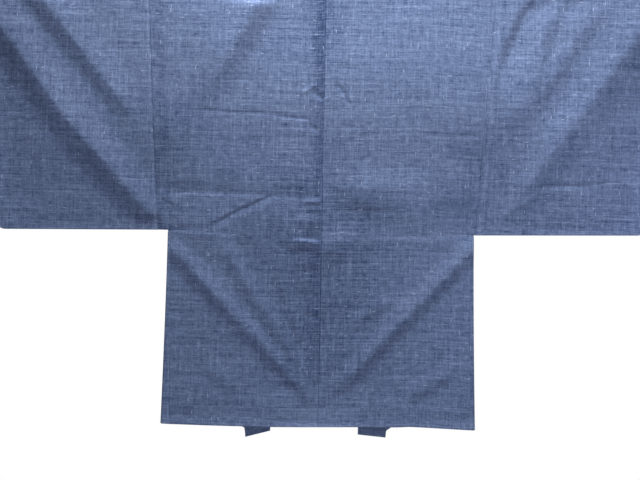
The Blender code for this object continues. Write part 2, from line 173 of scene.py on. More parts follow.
# %% Outline functions
def armhole_x(side, h):
    return mix(side.underarm_x, side.shoulder_x, (h - side.underarm_h) / (BAR_H - side.underarm_h))


def side_x(side, h):
    flare = (1 - np.clip(h / side.underarm_h, 0.0, 1.0)) ** 1.4
    return mix(side.side_top_x, side.side_hem_x, flare)


def sleeve_out_x(side, h):
    return mix(SLEEVE_OUT_LOW, SLEEVE_OUT_TOP, (h - side.cuff_h) / (BAR_H - side.cuff_h))


def sleeve_low_h(side, out):
    share = (out - side.underarm_x) / (SLEEVE_OUT_LOW - side.underarm_x)
    past = np.clip(out - (SLEEVE_OUT_LOW - CORNER), 0.0, CORNER)
    return mix(side.underarm_h, side.cuff_h, share) + CORNER - np.sqrt(CORNER ** 2 - past ** 2)


def collar_seam_x(side, h):
    return mix(side.collar_x, NECK_HALF + TURN, np.minimum(h / BAR_H, 1.0))


def panel_edge_x(side, h, face):
    """Gusset seam below the underarm, and above it the line that carries that seam on."""
    share = (h - side.underarm_h) / (BAR_H - side.underarm_h)
    above = mix(side.side_top_x - GUSSET_TOP, side.shoulder_x - EDGE_COLUMN, share)
    inset = side.gusset_back if face < 0 else GUSSET_FRONT
    below = side_x(side, h) - mix(inset, GUSSET_TOP, h / side.underarm_h)
    return np.where(h >= side.underarm_h, above, below)


print("side edge at the hem", side_x(LEFT, 0.0), side_x(RIGHT, 0.0))

# %% [markdown]
# ## How deep the garment hangs
# On a bar a haori is nearly flat. Back and front are a bar's width apart at the shoulder and a
# little more at the hem, and are drawn together where a sleeve is sewn shut. The depth is the
# solid's own, so each shell stays in the middle of its wall.

# %% Depth functions
def full_depth(h):
    return mix(DEPTH_HEM, WRAP, np.clip(h / BAR_H, 0.0, 1.0))


def sleeve_depth(side, out, h):
    inward = sleeve_out_x(side, h) - out
    lift = smooth((h - sleeve_low_h(side, out)) / SEAM_CLOSE)
    closed = smooth(inward / CUFF_CLOSE)
    opened = mix(CUFF_OPEN, 1.0, smooth(inward / (SLEEVE_OUT_TOP - FREE_FROM)))
    return mix(SLIT, full_depth(h), lift * mix(closed, opened, smooth((h - CUFF_LOW) / CUFF_EASE)))


def body_depth(side, out, h):
    below = np.maximum(side.underarm_h - h, 0.0)
    sewn = mix(SLIT, full_depth(h), smooth((h - side.underarm_h) / SEAM_CLOSE))
    open_edge = mix(SLIT, EDGE_HEM, (below / side.underarm_h) ** 0.8)
    edge_below = mix(side.underarm_x, side_x(side, h), smooth(below / UNDERARM_EASE))
    above = h >= side.underarm_h
    edge = np.where(above, armhole_x(side, h), edge_below)
    return mix(np.where(above, sewn, open_edge), full_depth(h), smooth((edge - out) / PINCH_REACH))


def depth(side, out, h):
    in_sleeve = (h >= side.underarm_h - CORNER) & (out > armhole_x(side, h))
    return np.where(in_sleeve, sleeve_depth(side, out, h), body_depth(side, out, h))


print("half depth at the hem", DEPTH_HEM, "and over the bar", WRAP)

# %% [markdown]
# ## Folds
# The weight of sleeves and body draws long soft folds from the shoulders and underarms towards
# the middle. A cloth simulation would give folds of its own, so these are listed one by one: each
# row is a line across the cloth with a flank above it, one below, a height, and how much of its
# length fades in and out. They follow the solid's own folds to within a few millimetres, and
# creases come in the next step.

# %% Fold tables, as (x, height, x, height, flank above, flank below, rise, fade in, fade out)
BACK_FOLDS = (
    (-0.316, 0.371, 0.012, 0.031, 0.031, 0.030, 0.0043, 0.10, 0.20),
    (-0.210, 0.378, 0.004, 0.059, 0.034, 0.028, 0.0026, 0.10, 0.20),
    (0.325, 0.385, 0.010, 0.047, 0.035, 0.029, 0.0050, 0.10, 0.20),
    (-0.722, 0.884, -0.476, 0.558, 0.062, 0.056, 0.0082, 0.12, 0.46),
    (-0.590, 0.696, -0.300, 0.367, 0.064, 0.056, 0.0086, 0.38, 0.26),
    (-0.690, 1.003, -0.372, 0.604, 0.075, 0.044, 0.0068, 0.20, 0.14),
    (0.730, 0.939, 0.345, 0.391, 0.058, 0.064, 0.0052, 0.32, 0.16),
    (0.570, 0.883, 0.400, 0.619, 0.034, 0.030, 0.0016, 0.20, 0.20),
    (0.496, 0.868, 0.368, 0.586, 0.060, 0.060, 0.0036, 0.20, 0.20),
    (-0.082, 0.950, -0.262, 0.610, 0.084, 0.052, 0.0102, 0.20, 0.40))
FRONT_FOLDS = (
    (-0.310, 0.378, -0.150, 0.114, 0.038, 0.034, 0.0028, 0.20, 0.20),
    (0.316, 0.376, 0.144, 0.088, 0.038, 0.034, 0.0030, 0.20, 0.20),
    (-0.722, 0.934, -0.316, 0.386, 0.060, 0.070, 0.0060, 0.12, 0.10),
    (0.724, 0.914, 0.326, 0.408, 0.060, 0.070, 0.0056, 0.12, 0.10),
    (-0.560, 0.868, -0.392, 0.654, 0.050, 0.036, 0.0032, 0.20, 0.15),
    (0.532, 0.865, 0.384, 0.634, 0.046, 0.036, 0.0030, 0.20, 0.15),
    (0.142, 0.470, 0.312, 0.472, 0.046, 0.034, 0.0016, 0.20, 0.20))
FOLD_TAIL = 2.6             # the flank above runs on this many times as far, more gently
TAIL_SHARE = 0.20
FOLD_NARROW = 0.30          # how much narrower and lower a fold grows towards its second end
FOLD_FADE_TOP = 0.030
FOLD_ROOM = 0.0006
FOLD_CREST = 0.6            # how pointed a crest is, 0 round and 1 pointed
CREST_ROUND = 0.004


def hump(off, flank, sharpness, rounding):
    """1 on the line and 0 at the foot of either flank."""
    t = np.minimum((np.hypot(off, rounding) - rounding) / (flank - rounding), 1.0)
    return mix((np.cos(math.pi * t) + 1) / 2, (1 - t) ** 2, sharpness)


def fold_rise(x, h, folds):
    total = np.zeros_like(x)
    for x1, h1, x2, h2, above, below, rise, fade_in, fade_out in folds:
        run = math.hypot(x2 - x1, h2 - h1)
        share = ((x - x1) * (x2 - x1) + (h - h1) * (h2 - h1)) / run ** 2
        off = ((x2 - x1) * (h - h1) - (h2 - h1) * (x - x1)) / run
        off = -off if x2 < x1 else off
        size = 1 + FOLD_NARROW * (0.4 - np.clip(share, 0.0, 1.0))
        flank = size * np.where(off > 0, above, below)
        tail = np.where(off > 0, TAIL_SHARE, 0.0)
        shape = mix(hump(off, flank, FOLD_CREST, CREST_ROUND),
                    hump(off, FOLD_TAIL * flank, FOLD_CREST, CREST_ROUND), tail)
        total += rise * size * smooth(share / fade_in) * smooth((1 - share) / fade_out) * shape
    return total


print(len(BACK_FOLDS), "folds on the back,", len(FRONT_FOLDS), "on the front")

# %% [markdown]
# ## Creases
# A folded and stored garment keeps short creases that no smooth fold explains. Each is a bent
# line listed with its own width on either side and its own height: above zero it is a
# ridge, below zero a pressed-in valley. Sharp creases come to a point instead of rounding over.
# The widest rows are hardly creases: they are the slow swells that a hung cloth always has.

# %% Crease tables, as (points, width above, width below, rise, sharpness, fade in, fade out)
BACK_CREASES = (
    (((-0.270, 0.633), (-0.189, 0.626), (-0.140, 0.625)), 0.006, 0.010, -0.0006, 0.6, 0.30, 0.35),
    (((-0.172, 0.627), (-0.105, 0.621), (-0.061, 0.616), (-0.020, 0.613)),
     0.013, 0.004, -0.0009, 0.6, 0.25, 0.10),
    (((-0.036, 0.610), (-0.006, 0.588)), 0.008, 0.007, -0.0009, 0.6, 0.25, 0.10),
    (((-0.316, 0.457), (-0.215, 0.460), (-0.100, 0.459), (0.0, 0.459)),
     0.064, 0.050, -0.0013, 0.1, 0.15, 0.15),
    (((-0.230, 0.460), (0.010, 0.463)), 0.120, 0.160, 0.0034, 0.0, 0.35, 0.10),
    (((-0.170, 0.612), (-0.006, 0.606)), 0.160, 0.090, 0.0013, 0.0, 0.35, 0.20),
    (((-0.316, 0.462), (-0.264, 0.464), (-0.190, 0.463)), 0.028, 0.006, -0.0013, 0.4, 0.10, 0.45),
    (((-0.230, 0.463), (-0.164, 0.463), (-0.104, 0.461)), 0.036, 0.006, -0.0013, 0.3, 0.25, 0.05),
    (((-0.112, 0.459), (-0.060, 0.458), (-0.001, 0.459)), 0.036, 0.006, -0.0010, 0.3, 0.08, 0.04),
    (((-0.098, 0.461), (-0.108, 0.457), (-0.134, 0.443), (-0.164, 0.430), (-0.195, 0.412),
      (-0.240, 0.386)), 0.008, 0.015, -0.0017, 0.6, 0.08, 0.30),
    (((-0.044, 0.4475), (0.0, 0.4485)), 0.013, 0.005, 0.0013, 0.6, 0.40, 0.04),
    (((-0.036, 0.435), (0.0, 0.435)), 0.010, 0.005, 0.0007, 0.6, 0.40, 0.04),
    (((-0.056, 0.411), (-0.006, 0.411)), 0.018, 0.034, 0.0015, 0.3, 0.30, 0.20),
    (((-0.328, 0.458), (-0.308, 0.449), (-0.286, 0.438)), 0.010, 0.006, 0.0006, 0.5, 0.25, 0.25),
    (((-0.304, 0.384), (-0.226, 0.380), (-0.140, 0.373)), 0.006, 0.014, 0.0006, 0.4, 0.10, 0.40),
    (((-0.066, 0.374), (-0.036, 0.371), (0.0, 0.3665)), 0.007, 0.026, 0.0030, 0.5, 0.45, 0.04),
    (((-0.088, 0.380), (-0.060, 0.370), (-0.024, 0.355)), 0.050, 0.022, 0.0018, 0.4, 0.20, 0.30),
    (((-0.110, 0.345), (0.020, 0.341)), 0.040, 0.110, 0.0016, 0.0, 0.30, 0.30),
    (((0.0, 0.364), (0.032, 0.368), (0.054, 0.3735), (0.090, 0.384)),
     0.040, 0.066, 0.0027, 0.2, 0.05, 0.50),
    (((0.0, 0.352), (0.050, 0.352)), 0.010, 0.014, 0.0006, 0.4, 0.05, 0.40),
    (((0.060, 0.378), (0.150, 0.374), (0.301, 0.380)), 0.012, 0.024, 0.0005, 0.2, 0.25, 0.25),
    (((-0.022, 0.671), (0.0, 0.653)), 0.012, 0.006, -0.0016, 0.6, 0.25, 0.06),
    (((-0.046, 0.664), (-0.028, 0.677), (-0.008, 0.690)), 0.006, 0.007, 0.0016, 0.6, 0.25, 0.20),
    (((0.002, 0.653), (0.014, 0.662)), 0.006, 0.006, 0.0009, 0.6, 0.10, 0.25),
    (((0.020, 0.690), (0.036, 0.673), (0.048, 0.652), (0.054, 0.636)),
     0.008, 0.008, -0.0015, 0.6, 0.15, 0.25),
    (((0.018, 0.716), (0.075, 0.716)), 0.007, 0.005, -0.0007, 0.7, 0.25, 0.25),
    (((0.028, 0.601), (0.080, 0.601)), 0.006, 0.005, -0.0006, 0.7, 0.25, 0.25),
    (((0.060, 0.579), (0.123, 0.587)), 0.006, 0.005, -0.0005, 0.7, 0.25, 0.25),
    (((0.185, 0.586), (0.329, 0.589)), 0.010, 0.007, -0.0004, 0.4, 0.25, 0.25),
    (((0.030, 0.428), (0.110, 0.432), (0.190, 0.431)), 0.010, 0.008, -0.0004, 0.4, 0.25, 0.25),
    (((0.427, 0.491), (0.510, 0.492), (0.595, 0.502)), 0.006, 0.010, -0.0010, 0.6, 0.15, 0.25),
    (((0.440, 0.900), (0.420, 0.863), (0.397, 0.822), (0.382, 0.782), (0.367, 0.742),
      (0.357, 0.701), (0.352, 0.661)), 0.022, 0.050, -0.0038, 0.4, 0.08, 0.45),
    (((0.500, 0.890), (0.484, 0.844), (0.461, 0.783), (0.446, 0.739), (0.436, 0.700)),
     0.026, 0.034, -0.0034, 0.3, 0.10, 0.45),
    (((0.444, 0.479), (0.400, 0.452), (0.350, 0.424)), 0.014, 0.009, 0.0006, 0.4, 0.30, 0.30),
    (((0.300, 0.436), (0.340, 0.469)), 0.009, 0.007, 0.0005, 0.4, 0.25, 0.25),
    (((-0.232, 0.124), (-0.200, 0.098), (-0.160, 0.066)), 0.026, 0.022, 0.0015, 0.2, 0.25, 0.25),
    (((0.285, 0.128), (0.228, 0.092), (0.170, 0.054)), 0.030, 0.024, 0.0024, 0.2, 0.25, 0.25),
    (((0.150, 0.262), (0.100, 0.232), (0.056, 0.196)), 0.026, 0.020, 0.0015, 0.2, 0.30, 0.30),
    (((-0.098, 0.336), (-0.056, 0.230), (-0.012, 0.120)), 0.022, 0.016, 0.0010, 0.2, 0.30, 0.30),
    (((-0.042, 0.312), (-0.003, 0.312)), 0.007, 0.006, -0.0010, 0.3, 0.40, 0.04),
    (((-0.024, 0.264), (-0.003, 0.264)), 0.006, 0.005, -0.0006, 0.3, 0.40, 0.04),
    (((-0.030, 0.219), (-0.003, 0.219)), 0.007, 0.006, -0.0010, 0.3, 0.40, 0.04),
    (((-0.024, 0.162), (-0.003, 0.162)), 0.006, 0.005, -0.0007, 0.3, 0.40, 0.04),
    (((0.010, 0.478), (0.110, 0.480), (0.230, 0.478)), 0.080, 0.056, 0.0038, 0.7, 0.12, 0.40),
    (((0.150, 0.472), (0.316, 0.474)), 0.080, 0.064, 0.0018, 0.2, 0.45, 0.12),
    (((0.040, 0.462), (0.160, 0.434), (0.240, 0.418)), 0.080, 0.042, 0.0028, 0.3, 0.25, 0.30),
    (((0.110, 0.780), (0.250, 0.780)), 0.110, 0.300, 0.0018, 0.0, 0.40, 0.40),
    (((-0.330, 0.485), (0.330, 0.485)), 0.200, 0.200, 0.0030, 0.0, 0.30, 0.30),
    (((-0.420, 0.640), (0.420, 0.660)), 0.210, 0.170, 0.0042, 0.0, 0.10, 0.10),
    (((-0.640, 0.404), (-0.345, 0.404)), 0.200, 0.016, 0.0008, 0.0, 0.20, 0.30),
    (((0.345, 0.405), (0.640, 0.410)), 0.200, 0.016, 0.0010, 0.0, 0.30, 0.20),
    (((-0.330, -0.004), (0.330, -0.004)), 0.040, 0.010, 0.0016, 0.4, 0.05, 0.05),
    (((-0.100, -0.008), (0.110, -0.008)), 0.048, 0.010, 0.0034, 0.0, 0.35, 0.35),
    (((-0.330, 0.085), (0.330, 0.085)), 0.260, 0.084, -0.0012, 0.0, 0.20, 0.20),
    (((-0.180, 0.070), (0.190, 0.070)), 0.320, 0.140, -0.0054, 0.0, 0.40, 0.40))
FRONT_CREASES = (
    (((-0.290, 0.618), (-0.240, 0.622), (-0.180, 0.616)), 0.008, 0.007, -0.0009, 0.8, 0.25, 0.25),
    (((0.168, 0.612), (0.230, 0.620), (0.300, 0.618)), 0.008, 0.007, -0.0008, 0.8, 0.25, 0.25),
    (((-0.310, 0.456), (-0.220, 0.463), (-0.155, 0.459)), 0.022, 0.050, -0.0011, 0.2, 0.20, 0.25),
    (((0.152, 0.466), (0.220, 0.458), (0.300, 0.442)), 0.018, 0.010, 0.0010, 0.4, 0.10, 0.30),
    (((-0.290, 0.368), (-0.220, 0.372), (-0.155, 0.366)), 0.010, 0.030, 0.0010, 0.4, 0.25, 0.25),
    (((0.150, 0.372), (0.220, 0.366), (0.298, 0.374)), 0.012, 0.026, 0.0009, 0.4, 0.25, 0.25),
    (((-0.290, 0.436), (-0.230, 0.408), (-0.165, 0.388)), 0.008, 0.005, -0.0013, 0.6, 0.30, 0.10),
    (((0.165, 0.560), (0.225, 0.566)), 0.006, 0.005, -0.0005, 0.7, 0.25, 0.25),
    (((-0.580, 0.512), (-0.500, 0.500), (-0.420, 0.504)), 0.009, 0.006, -0.0006, 0.6, 0.25, 0.25),
    (((0.400, 0.470), (0.372, 0.436)), 0.009, 0.008, 0.0006, 0.4, 0.25, 0.25),
    (((0.420, 0.520), (0.500, 0.508), (0.590, 0.512)), 0.009, 0.006, -0.0006, 0.6, 0.25, 0.25),
    (((-0.250, 0.150), (-0.215, 0.110), (-0.170, 0.084)), 0.026, 0.022, 0.0012, 0.2, 0.25, 0.25),
    (((0.245, 0.160), (0.205, 0.112), (0.165, 0.090)), 0.026, 0.022, 0.0012, 0.2, 0.25, 0.25))
CREASE_ROUND = 0.0008


def crease_rise(x, h, creases):
    """Height of all creases. Each point reads the nearest stretch of every bent line."""
    total = np.zeros_like(x)
    for points, above, below, rise, sharpness, fade_in, fade_out in creases:
        lengths = [math.dist(a, b) for a, b in zip(points, points[1:])]
        nearest = np.full_like(x, np.inf)
        share = np.zeros_like(x)
        flank = np.ones_like(x)
        done = 0.0
        for (x1, h1), (x2, h2), run in zip(points, points[1:], lengths):
            t = ((x - x1) * (x2 - x1) + (h - h1) * (h2 - h1)) / run ** 2
            t = np.clip(t, 0.0, 1.0)
            away_x = x - mix(x1, x2, t)
            away_h = h - mix(h1, h2, t)
            away = np.hypot(away_x, away_h)
            closer = away < nearest
            upper = (away_h * abs(x2 - x1) - away_x * (h2 - h1) * np.sign(x2 - x1)) > 0
            nearest = np.where(closer, away, nearest)
            share = np.where(closer, (done + t * run) / sum(lengths), share)
            flank = np.where(closer, np.where(upper, above, below), flank)
            done += run
        ends = smooth(share / fade_in) * smooth((1 - share) / fade_out)
        total += rise * ends * hump(nearest, flank, sharpness, CREASE_ROUND)
    return total


print(len(BACK_CREASES), "creases on the back,", len(FRONT_CREASES), "on the front")

# %% [markdown]
# ## Uneven cloth
# Hand-spun silk never hangs as a clean surface. A little fractal noise lifts and lowers it by
# half a millimetre over a hand's width, and short puckers run out from the sewn edges. Both die
# out over the bar, where the cloth is stretched over wood.

# %% Ripples and the finished wall
SWELL = 0.00060         # height of the broad unevenness
SWELL_SIZE = 0.085
PUCKER = 0.00030        # height of the puckers beside a seam
PUCKER_SIZE = 0.011
PUCKER_REACH = 0.020
INWARD = 0.6            # how much of the room between two walls a valley may take
SEAM_DIP = 0.00035      # the cloth turns in this far at a sewn edge
SEAM_SOFT = 0.0011
LAP = {"left": 0.0008, "right": 0.0030}             # how far each back edge runs past the centre
LAP_LIFT = {"left": 0.00045, "right": -0.00060}     # left lies over right
LAP_REACH = {"left": 0.018, "right": 0.008}


def swell(x, h, seed):
    """Broad unevenness, about one way up to SWELL and the same down."""
    pairs = zip((x / SWELL_SIZE).ravel(), (h / SWELL_SIZE).ravel())
    heights = [noise.fractal((a, b, seed), 0.9, 2.1, 3) for a, b in pairs]
    return SWELL * np.array(heights).reshape(x.shape)


def pucker(x, h, seam, seed):
    pairs = zip((x / PUCKER_REACH).ravel(), (h / PUCKER_SIZE).ravel())
    heights = np.array([noise.noise((a, b, seed)) for a, b in pairs]).reshape(x.shape)
    return PUCKER * heights * np.exp(-seam / PUCKER_REACH)


def wall_y(side, x, h, face, seam):
    """Middle of the cloth. Face is -1 behind and +1 in front, seam the distance to sewing."""
    out = side.sign * x
    half = depth(side, out, h)
    loose = smooth((half - SLIT) / FOLD_ROOM) * smooth((BAR_H - h) / FOLD_FADE_TOP)
    folds = BACK_FOLDS if face < 0 else FRONT_FOLDS
    creases = BACK_CREASES if face < 0 else FRONT_CREASES
    relief = fold_rise(x, h, folds) + crease_rise(x, h, creases) + swell(x, h, 3.0 * face)
    relief += pucker(x, h, seam, 7.0 * face)
    relief = np.maximum(relief, -INWARD * (half - SLIT))
    edge = -SEAM_DIP * np.exp(-(seam / SEAM_SOFT) ** 2)
    if face < 0:
        edge += LAP_LIFT[side.name] * smooth(1 - out / LAP_REACH[side.name])
    return face * (half + loose * relief + edge)


print("broad unevenness", 1000 * SWELL, "mm, puckers", 1000 * PUCKER, "mm")

# %% [markdown]
# ## From a grid of points to cloth
# Every cloth piece is a grid, so one function makes them all. Its lines crowd beside sewn edges
# and fine creases, so few faces are spent elsewhere. It leaves out cells with a missing corner,
# lays a UV map in metres along the weave, keeps the distances to armhole, centre and hem on each
# point for the finish, and gives the sheet its thickness with Solidify. The modifier is applied,
# because its rim can then be shaded as a crisp edge. A second function hangs each piece on the
# root, which it rides on, and hides the solid that it replaces.

# %% Grid helper
STEP = 0.0036               # usual distance between two columns of the grid
CLOSEST = 0.001             # an inner line nearer than this to the crowded ones is left out
CROWD = (0.0, 0.0006, 0.0014, 0.0027)       # closer lines beside a sewn edge
FAR = 1.0                   # a distance that means there is no sewing near
FIELDS = ("armhole", "centre", "hem")
RIM_ANGLE = math.radians(50)
flat_area = {}


def spaced(length, near=True, far=True, steps=((0.0, STEP),)):
    """Shares from 0 to 1 along a length. Steps holds (place, step), and sewn ends are closer."""
    inner = [0.0]
    while inner[-1] < length:
        inner.append(inner[-1] + along(steps, inner[-1]))
    start = list(CROWD) if near else [0.0]
    end = [length - c for c in CROWD[::-1]] if far else [length]
    inner = [length * d / inner[-1] for d in inner]
    inner = [d for d in inner if start[-1] + CLOSEST < d < end[0] - CLOSEST]
    return np.array(start + inner + end) / length


def cloth(name, points, u, v, sewing, present=None, ring=False):
    """Shell through a grid of points. Sewing holds distances named in FIELDS."""
    rows, columns = points.shape[:2]
    present = np.ones((rows, columns), bool) if present is None else present
    number = np.full((rows, columns), -1)
    number[present] = np.arange(present.sum())
    upper = np.vstack([number[1:], number[:1]]) if ring else number[1:]
    lower = number if ring else number[:-1]
    cells = np.stack([lower[:, :-1], lower[:, 1:], upper[:, 1:], upper[:, :-1]], -1).reshape(-1, 4)
    cells = cells[(cells >= 0).all(1)]
    mesh = bpy.data.meshes.new(name)
    mesh.from_pydata(points[present], [], cells)
    layer = mesh.uv_layers.new(name="cloth")
    corners = np.stack([u[present], v[present]], -1)[cells.ravel()]
    layer.data.foreach_set("uv", corners.astype(np.float32).ravel())
    for key in FIELDS:
        values = np.broadcast_to(sewing.get(key, FAR), present.shape)
        field = mesh.attributes.new(key, "FLOAT", "POINT")
        field.data.foreach_set("value", values[present].astype(np.float32))
    mesh.update()
    flat_area[name] = sum(polygon.area for polygon in mesh.polygons)
    piece = bpy.data.objects.new(name, mesh)
    bpy.context.scene.collection.objects.link(piece)
    solid = piece.modifiers.new("thickness", "SOLIDIFY")
    solid.thickness = CLOTH
    solid.offset = 0.0
    graph = bpy.context.evaluated_depsgraph_get()
    piece.data = bpy.data.meshes.new_from_object(piece.evaluated_get(graph))
    piece.modifiers.clear()
    piece.data.shade_smooth()
    piece.data.set_sharp_from_angle(angle=RIM_ANGLE)
    triangles = sum(len(polygon.vertices) - 2 for polygon in piece.data.polygons)
    print(name, triangles, "triangles,", round(flat_area[name], 3), "square metres")
    return piece


def stand_for(piece, node):
    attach(piece, "root")
    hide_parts(node)
    return piece


def place(x, y, h):
    return np.stack(np.broadcast_arrays(x, y, HEM_Z + h), -1)

# %% [markdown]
# ## The body lengths
# A body panel is one cloth from the back hem, up over the shoulder and down to the front hem.
# Rows follow that way, and columns run from the sleeve seam to the centre or the collar. The map's
# height is measured along each column, so the weave isn't stretched over the shoulder. The hem is
# turned up inside, as the faint line 37 mm above it shows, so its edge is a round fold.

# %% Rows and columns of a body panel
HEM_TURN = 0.037
HEM_ROUND = 0.0006
WRAP_STEPS = 14
STRIP = spaced(EDGE_COLUMN, near=True, far=False)
PANEL = spaced(LEFT.side_top_x - NECK_HALF)
NECK = spaced(NECK_HALF, near=False, far=True, steps=((0.0, 0.0027),))
LEVEL_ROOM = 1e-6          # a row this little below the underarm still counts as on it
LOW_STEPS = {-1: ((0.33, 0.0034), (0.35, 0.0021)), 1: ((0.0, 0.0044),)}
HIGH_STEPS = {-1: ((0.10, 0.0021), (0.12, 0.0034), (0.19, 0.0034), (0.205, 0.0021), (0.25, 0.0021),
                   (0.265, 0.0036)), 1: ((0.0, 0.0044),)}
LOW_LEVELS = {face: spaced(LEFT.underarm_h, steps=LOW_STEPS[face]) for face in (-1, 1)}
HIGH_LEVELS = {face: spaced(BAR_H - LEFT.underarm_h, far=False, steps=HIGH_STEPS[face])
               for face in (-1, 1)}
TURN_UP = np.array([0.0, 0.25, 0.5, 0.75, 1.0])


def neck_climb(out):
    return smooth((NECK_HALF + NECK_EASE - out) / NECK_EASE)


def column_x(side, h, face):
    """All columns of a panel at heights h (a column vector): armhole, panel, then neck."""
    edge = panel_edge_x(side, h, face)
    strip = mix(armhole_x(side, h) - GAP / 2, edge, STRIP[None, :])
    inner = NECK_HALF if face < 0 else collar_seam_x(side, h)
    panel = mix(edge, inner, PANEL[None, 1:])
    neck = mix(NECK_HALF, -LAP[side.name], NECK[None, 1:]) + 0 * h
    return np.hstack([strip, panel, neck if face < 0 else np.full_like(neck, np.nan)])


def body_seam(side, out, h, face):
    """Distance to the nearest sewing of a body panel."""
    armhole = np.where(h >= side.underarm_h, armhole_x(side, h) - out, FAR)
    gusset = np.where(h < side.underarm_h, panel_edge_x(side, h, face) - out, FAR)
    other = out + LAP[side.name] if face < 0 else out - collar_seam_x(side, h)
    corner = np.hypot(np.maximum(side.side_top_x - GUSSET_TOP - out, 0.0), h - side.underarm_h)
    return np.clip(np.minimum(np.minimum(armhole, gusset), np.minimum(other, corner)), 0.0, FAR)


print(len(STRIP) + len(PANEL) + len(NECK) - 2, "columns")
print(len(LOW_LEVELS[-1]) + len(HIGH_LEVELS[-1]), "rows behind,",
      len(LOW_LEVELS[1]) + len(HIGH_LEVELS[1]), "in front")

# %% [markdown]
# The wall rows need care at two places. The back climbs to the neck above the bar, and the hem
# turns up inside: its rows carry on past the fold, below zero in the UV map, and go back up a
# little nearer the middle. Over the shoulder each column goes round the bar, or, at the neck,
# along the slanting turn of the collar's seam.

# %% Body panels
def body_wall(side, face):
    """Points and map height of one wall, from the hem up, with the turned hem first."""
    low_h = side.underarm_h * LOW_LEVELS[face][:-1, None]
    high_h = mix(side.underarm_h, BAR_H, HIGH_LEVELS[face][:, None])
    plain_h = np.vstack([low_h, high_h])
    out = column_x(side, plain_h, face)
    top_out = column_x(side, np.array([[BAR_H]]), -1)
    rise = NECK_RISE if face < 0 else NECK_RISE - TURN
    hem = along(BACK_HEM if face < 0 else FRONT_HEM, side.sign * out)
    low = mix(hem + HEM_ROUND, side.underarm_h, plain_h / side.underarm_h)
    climb = neck_climb(top_out) * rise / (BAR_H - side.underarm_h)
    high = plain_h + climb * (plain_h - side.underarm_h)
    h = np.where(plain_h < side.underarm_h, low, high)
    seam = body_seam(side, out, np.minimum(h, BAR_H), face)
    y = wall_y(side, side.sign * out, np.minimum(h, BAR_H), face, seam)
    turned_h = HEM_TURN * TURN_UP[::-1, None]
    turned_y = y[:1] - face * 2 * HEM_ROUND + 0 * turned_h
    rows = [(out[:1] + 0 * turned_h, turned_y, hem[:1] + HEM_ROUND + turned_h,
             -turned_h - math.pi * HEM_ROUND)]
    for angle in (0.75 * math.pi, 0.5 * math.pi, 0.25 * math.pi):
        bend_y = y[:1] - face * HEM_ROUND * (1 - math.cos(angle))
        bend_h = hem[:1] + HEM_ROUND * (1 - math.sin(angle))
        rows.append((out[:1], bend_y, bend_h, np.array([[-HEM_ROUND * angle]])))
    rows.append((out, y, h, plain_h))
    out, y, h, v = (np.vstack([np.broadcast_to(row[i], row[0].shape) for row in rows])
                    for i in range(4))
    return place(side.sign * out, y, h), v


def shoulder(side):
    """Rows over the bar, t from 0 behind to pi in front, both ends included."""
    t = np.linspace(0.0, math.pi, WRAP_STEPS + 1)[:, None]
    back_x = column_x(side, np.array([[BAR_H]]), -1)
    front_x = column_x(side, np.array([[BAR_H]]), 1)
    climb = neck_climb(back_x)
    lean = WRAP / math.sqrt(2)
    out = mix(mix(back_x, front_x, smooth(t / math.pi)), NECK_HALF + lean * (t + np.sin(t)), climb)
    h = BAR_H + mix(WRAP * np.sin(t), NECK_RISE + lean * (np.sin(t) - t), climb)
    return place(side.sign * out, -WRAP * np.cos(t), h)


def body(side):
    back, back_h = body_wall(side, -1)
    over = shoulder(side)
    front, front_h = body_wall(side, 1)
    points = np.concatenate([back, over[1:], front[-2::-1]])
    lengths = np.linalg.norm(np.diff(points, axis=0), axis=2)
    v = np.vstack([np.zeros_like(lengths[:1]), np.cumsum(lengths, axis=0)])
    v -= v[len(TURN_UP) + 1]
    out = side.sign * points[..., 0]
    hem = np.vstack([back_h, np.full_like(back_h[:WRAP_STEPS], BAR_H), front_h[-2::-1]])
    armhole = np.where(hem >= side.underarm_h, out - armhole_x(side, hem), FAR)
    behind = np.arange(len(points))[:, None] < len(back)
    centre = np.where(behind, points[..., 0], FAR)
    present = ~np.isnan(points).any(-1)
    strip = np.arange(points.shape[1])[None, :] < len(STRIP) - 1
    present &= ~(strip & (hem < side.underarm_h - LEVEL_ROOM))
    sewing = {"armhole": armhole, "centre": centre, "hem": hem}
    piece = cloth("shell_body_" + side.name, points, points[..., 0], v, sewing, present)
    return stand_for(piece, "body_" + side.name)


shells = [body(LEFT), body(RIGHT)]

# %% [markdown]
# ## The sleeves
# A sleeve is a rectangle folded over the shoulder and sewn shut along its bottom and along its
# outer edge below the cuff opening. Its rows go all the way round, back wall, bar, front wall
# and the bottom fold, so the grid closes into a ring.

# %% Sleeves
SLEEVE_SPAN = 0.31          # length that the columns are spread over, as far as the corner
CORNER_SHARES = np.arange(1, 9) / 8
SLEEVE_OUTS = np.concatenate([
    mix(LEFT.underarm_x, SLEEVE_OUT_LOW - CORNER, spaced(SLEEVE_SPAN, near=True, far=False)),
    SLEEVE_OUT_LOW - CORNER * (1 - np.sin(math.pi / 2 * CORNER_SHARES))])
SLEEVE_STEPS = {-1: ((0.0, 0.0026),), 1: ((0.0, 0.0044),)}
SLEEVE_LEVELS = {face: spaced(BAR_H - LEFT.underarm_h, far=False, steps=SLEEVE_STEPS[face])
                 for face in (-1, 1)}
ROW_CROWDING = 1.10         # above 1 rows lie closer towards the bottom seam
BOTTOM_STEPS = 6
SLEEVE_EDGE = 0.006     # how far up its bottom edge counts as hem, with painted shade along it
CURL = 0.0009           # the folded edge of the open cuff turns in this far
CURL_REACH = 0.003
SEAM_START = 0.002          # distance to sewing that counts on the bottom fold itself


def droop(side, share):
    out = mix(armhole_x(side, BAR_H) + GAP / 2, sleeve_out_x(side, BAR_H), share)
    return END_DROOP * smooth((out - FREE_FROM) / (SLEEVE_OUT_TOP - FREE_FROM))


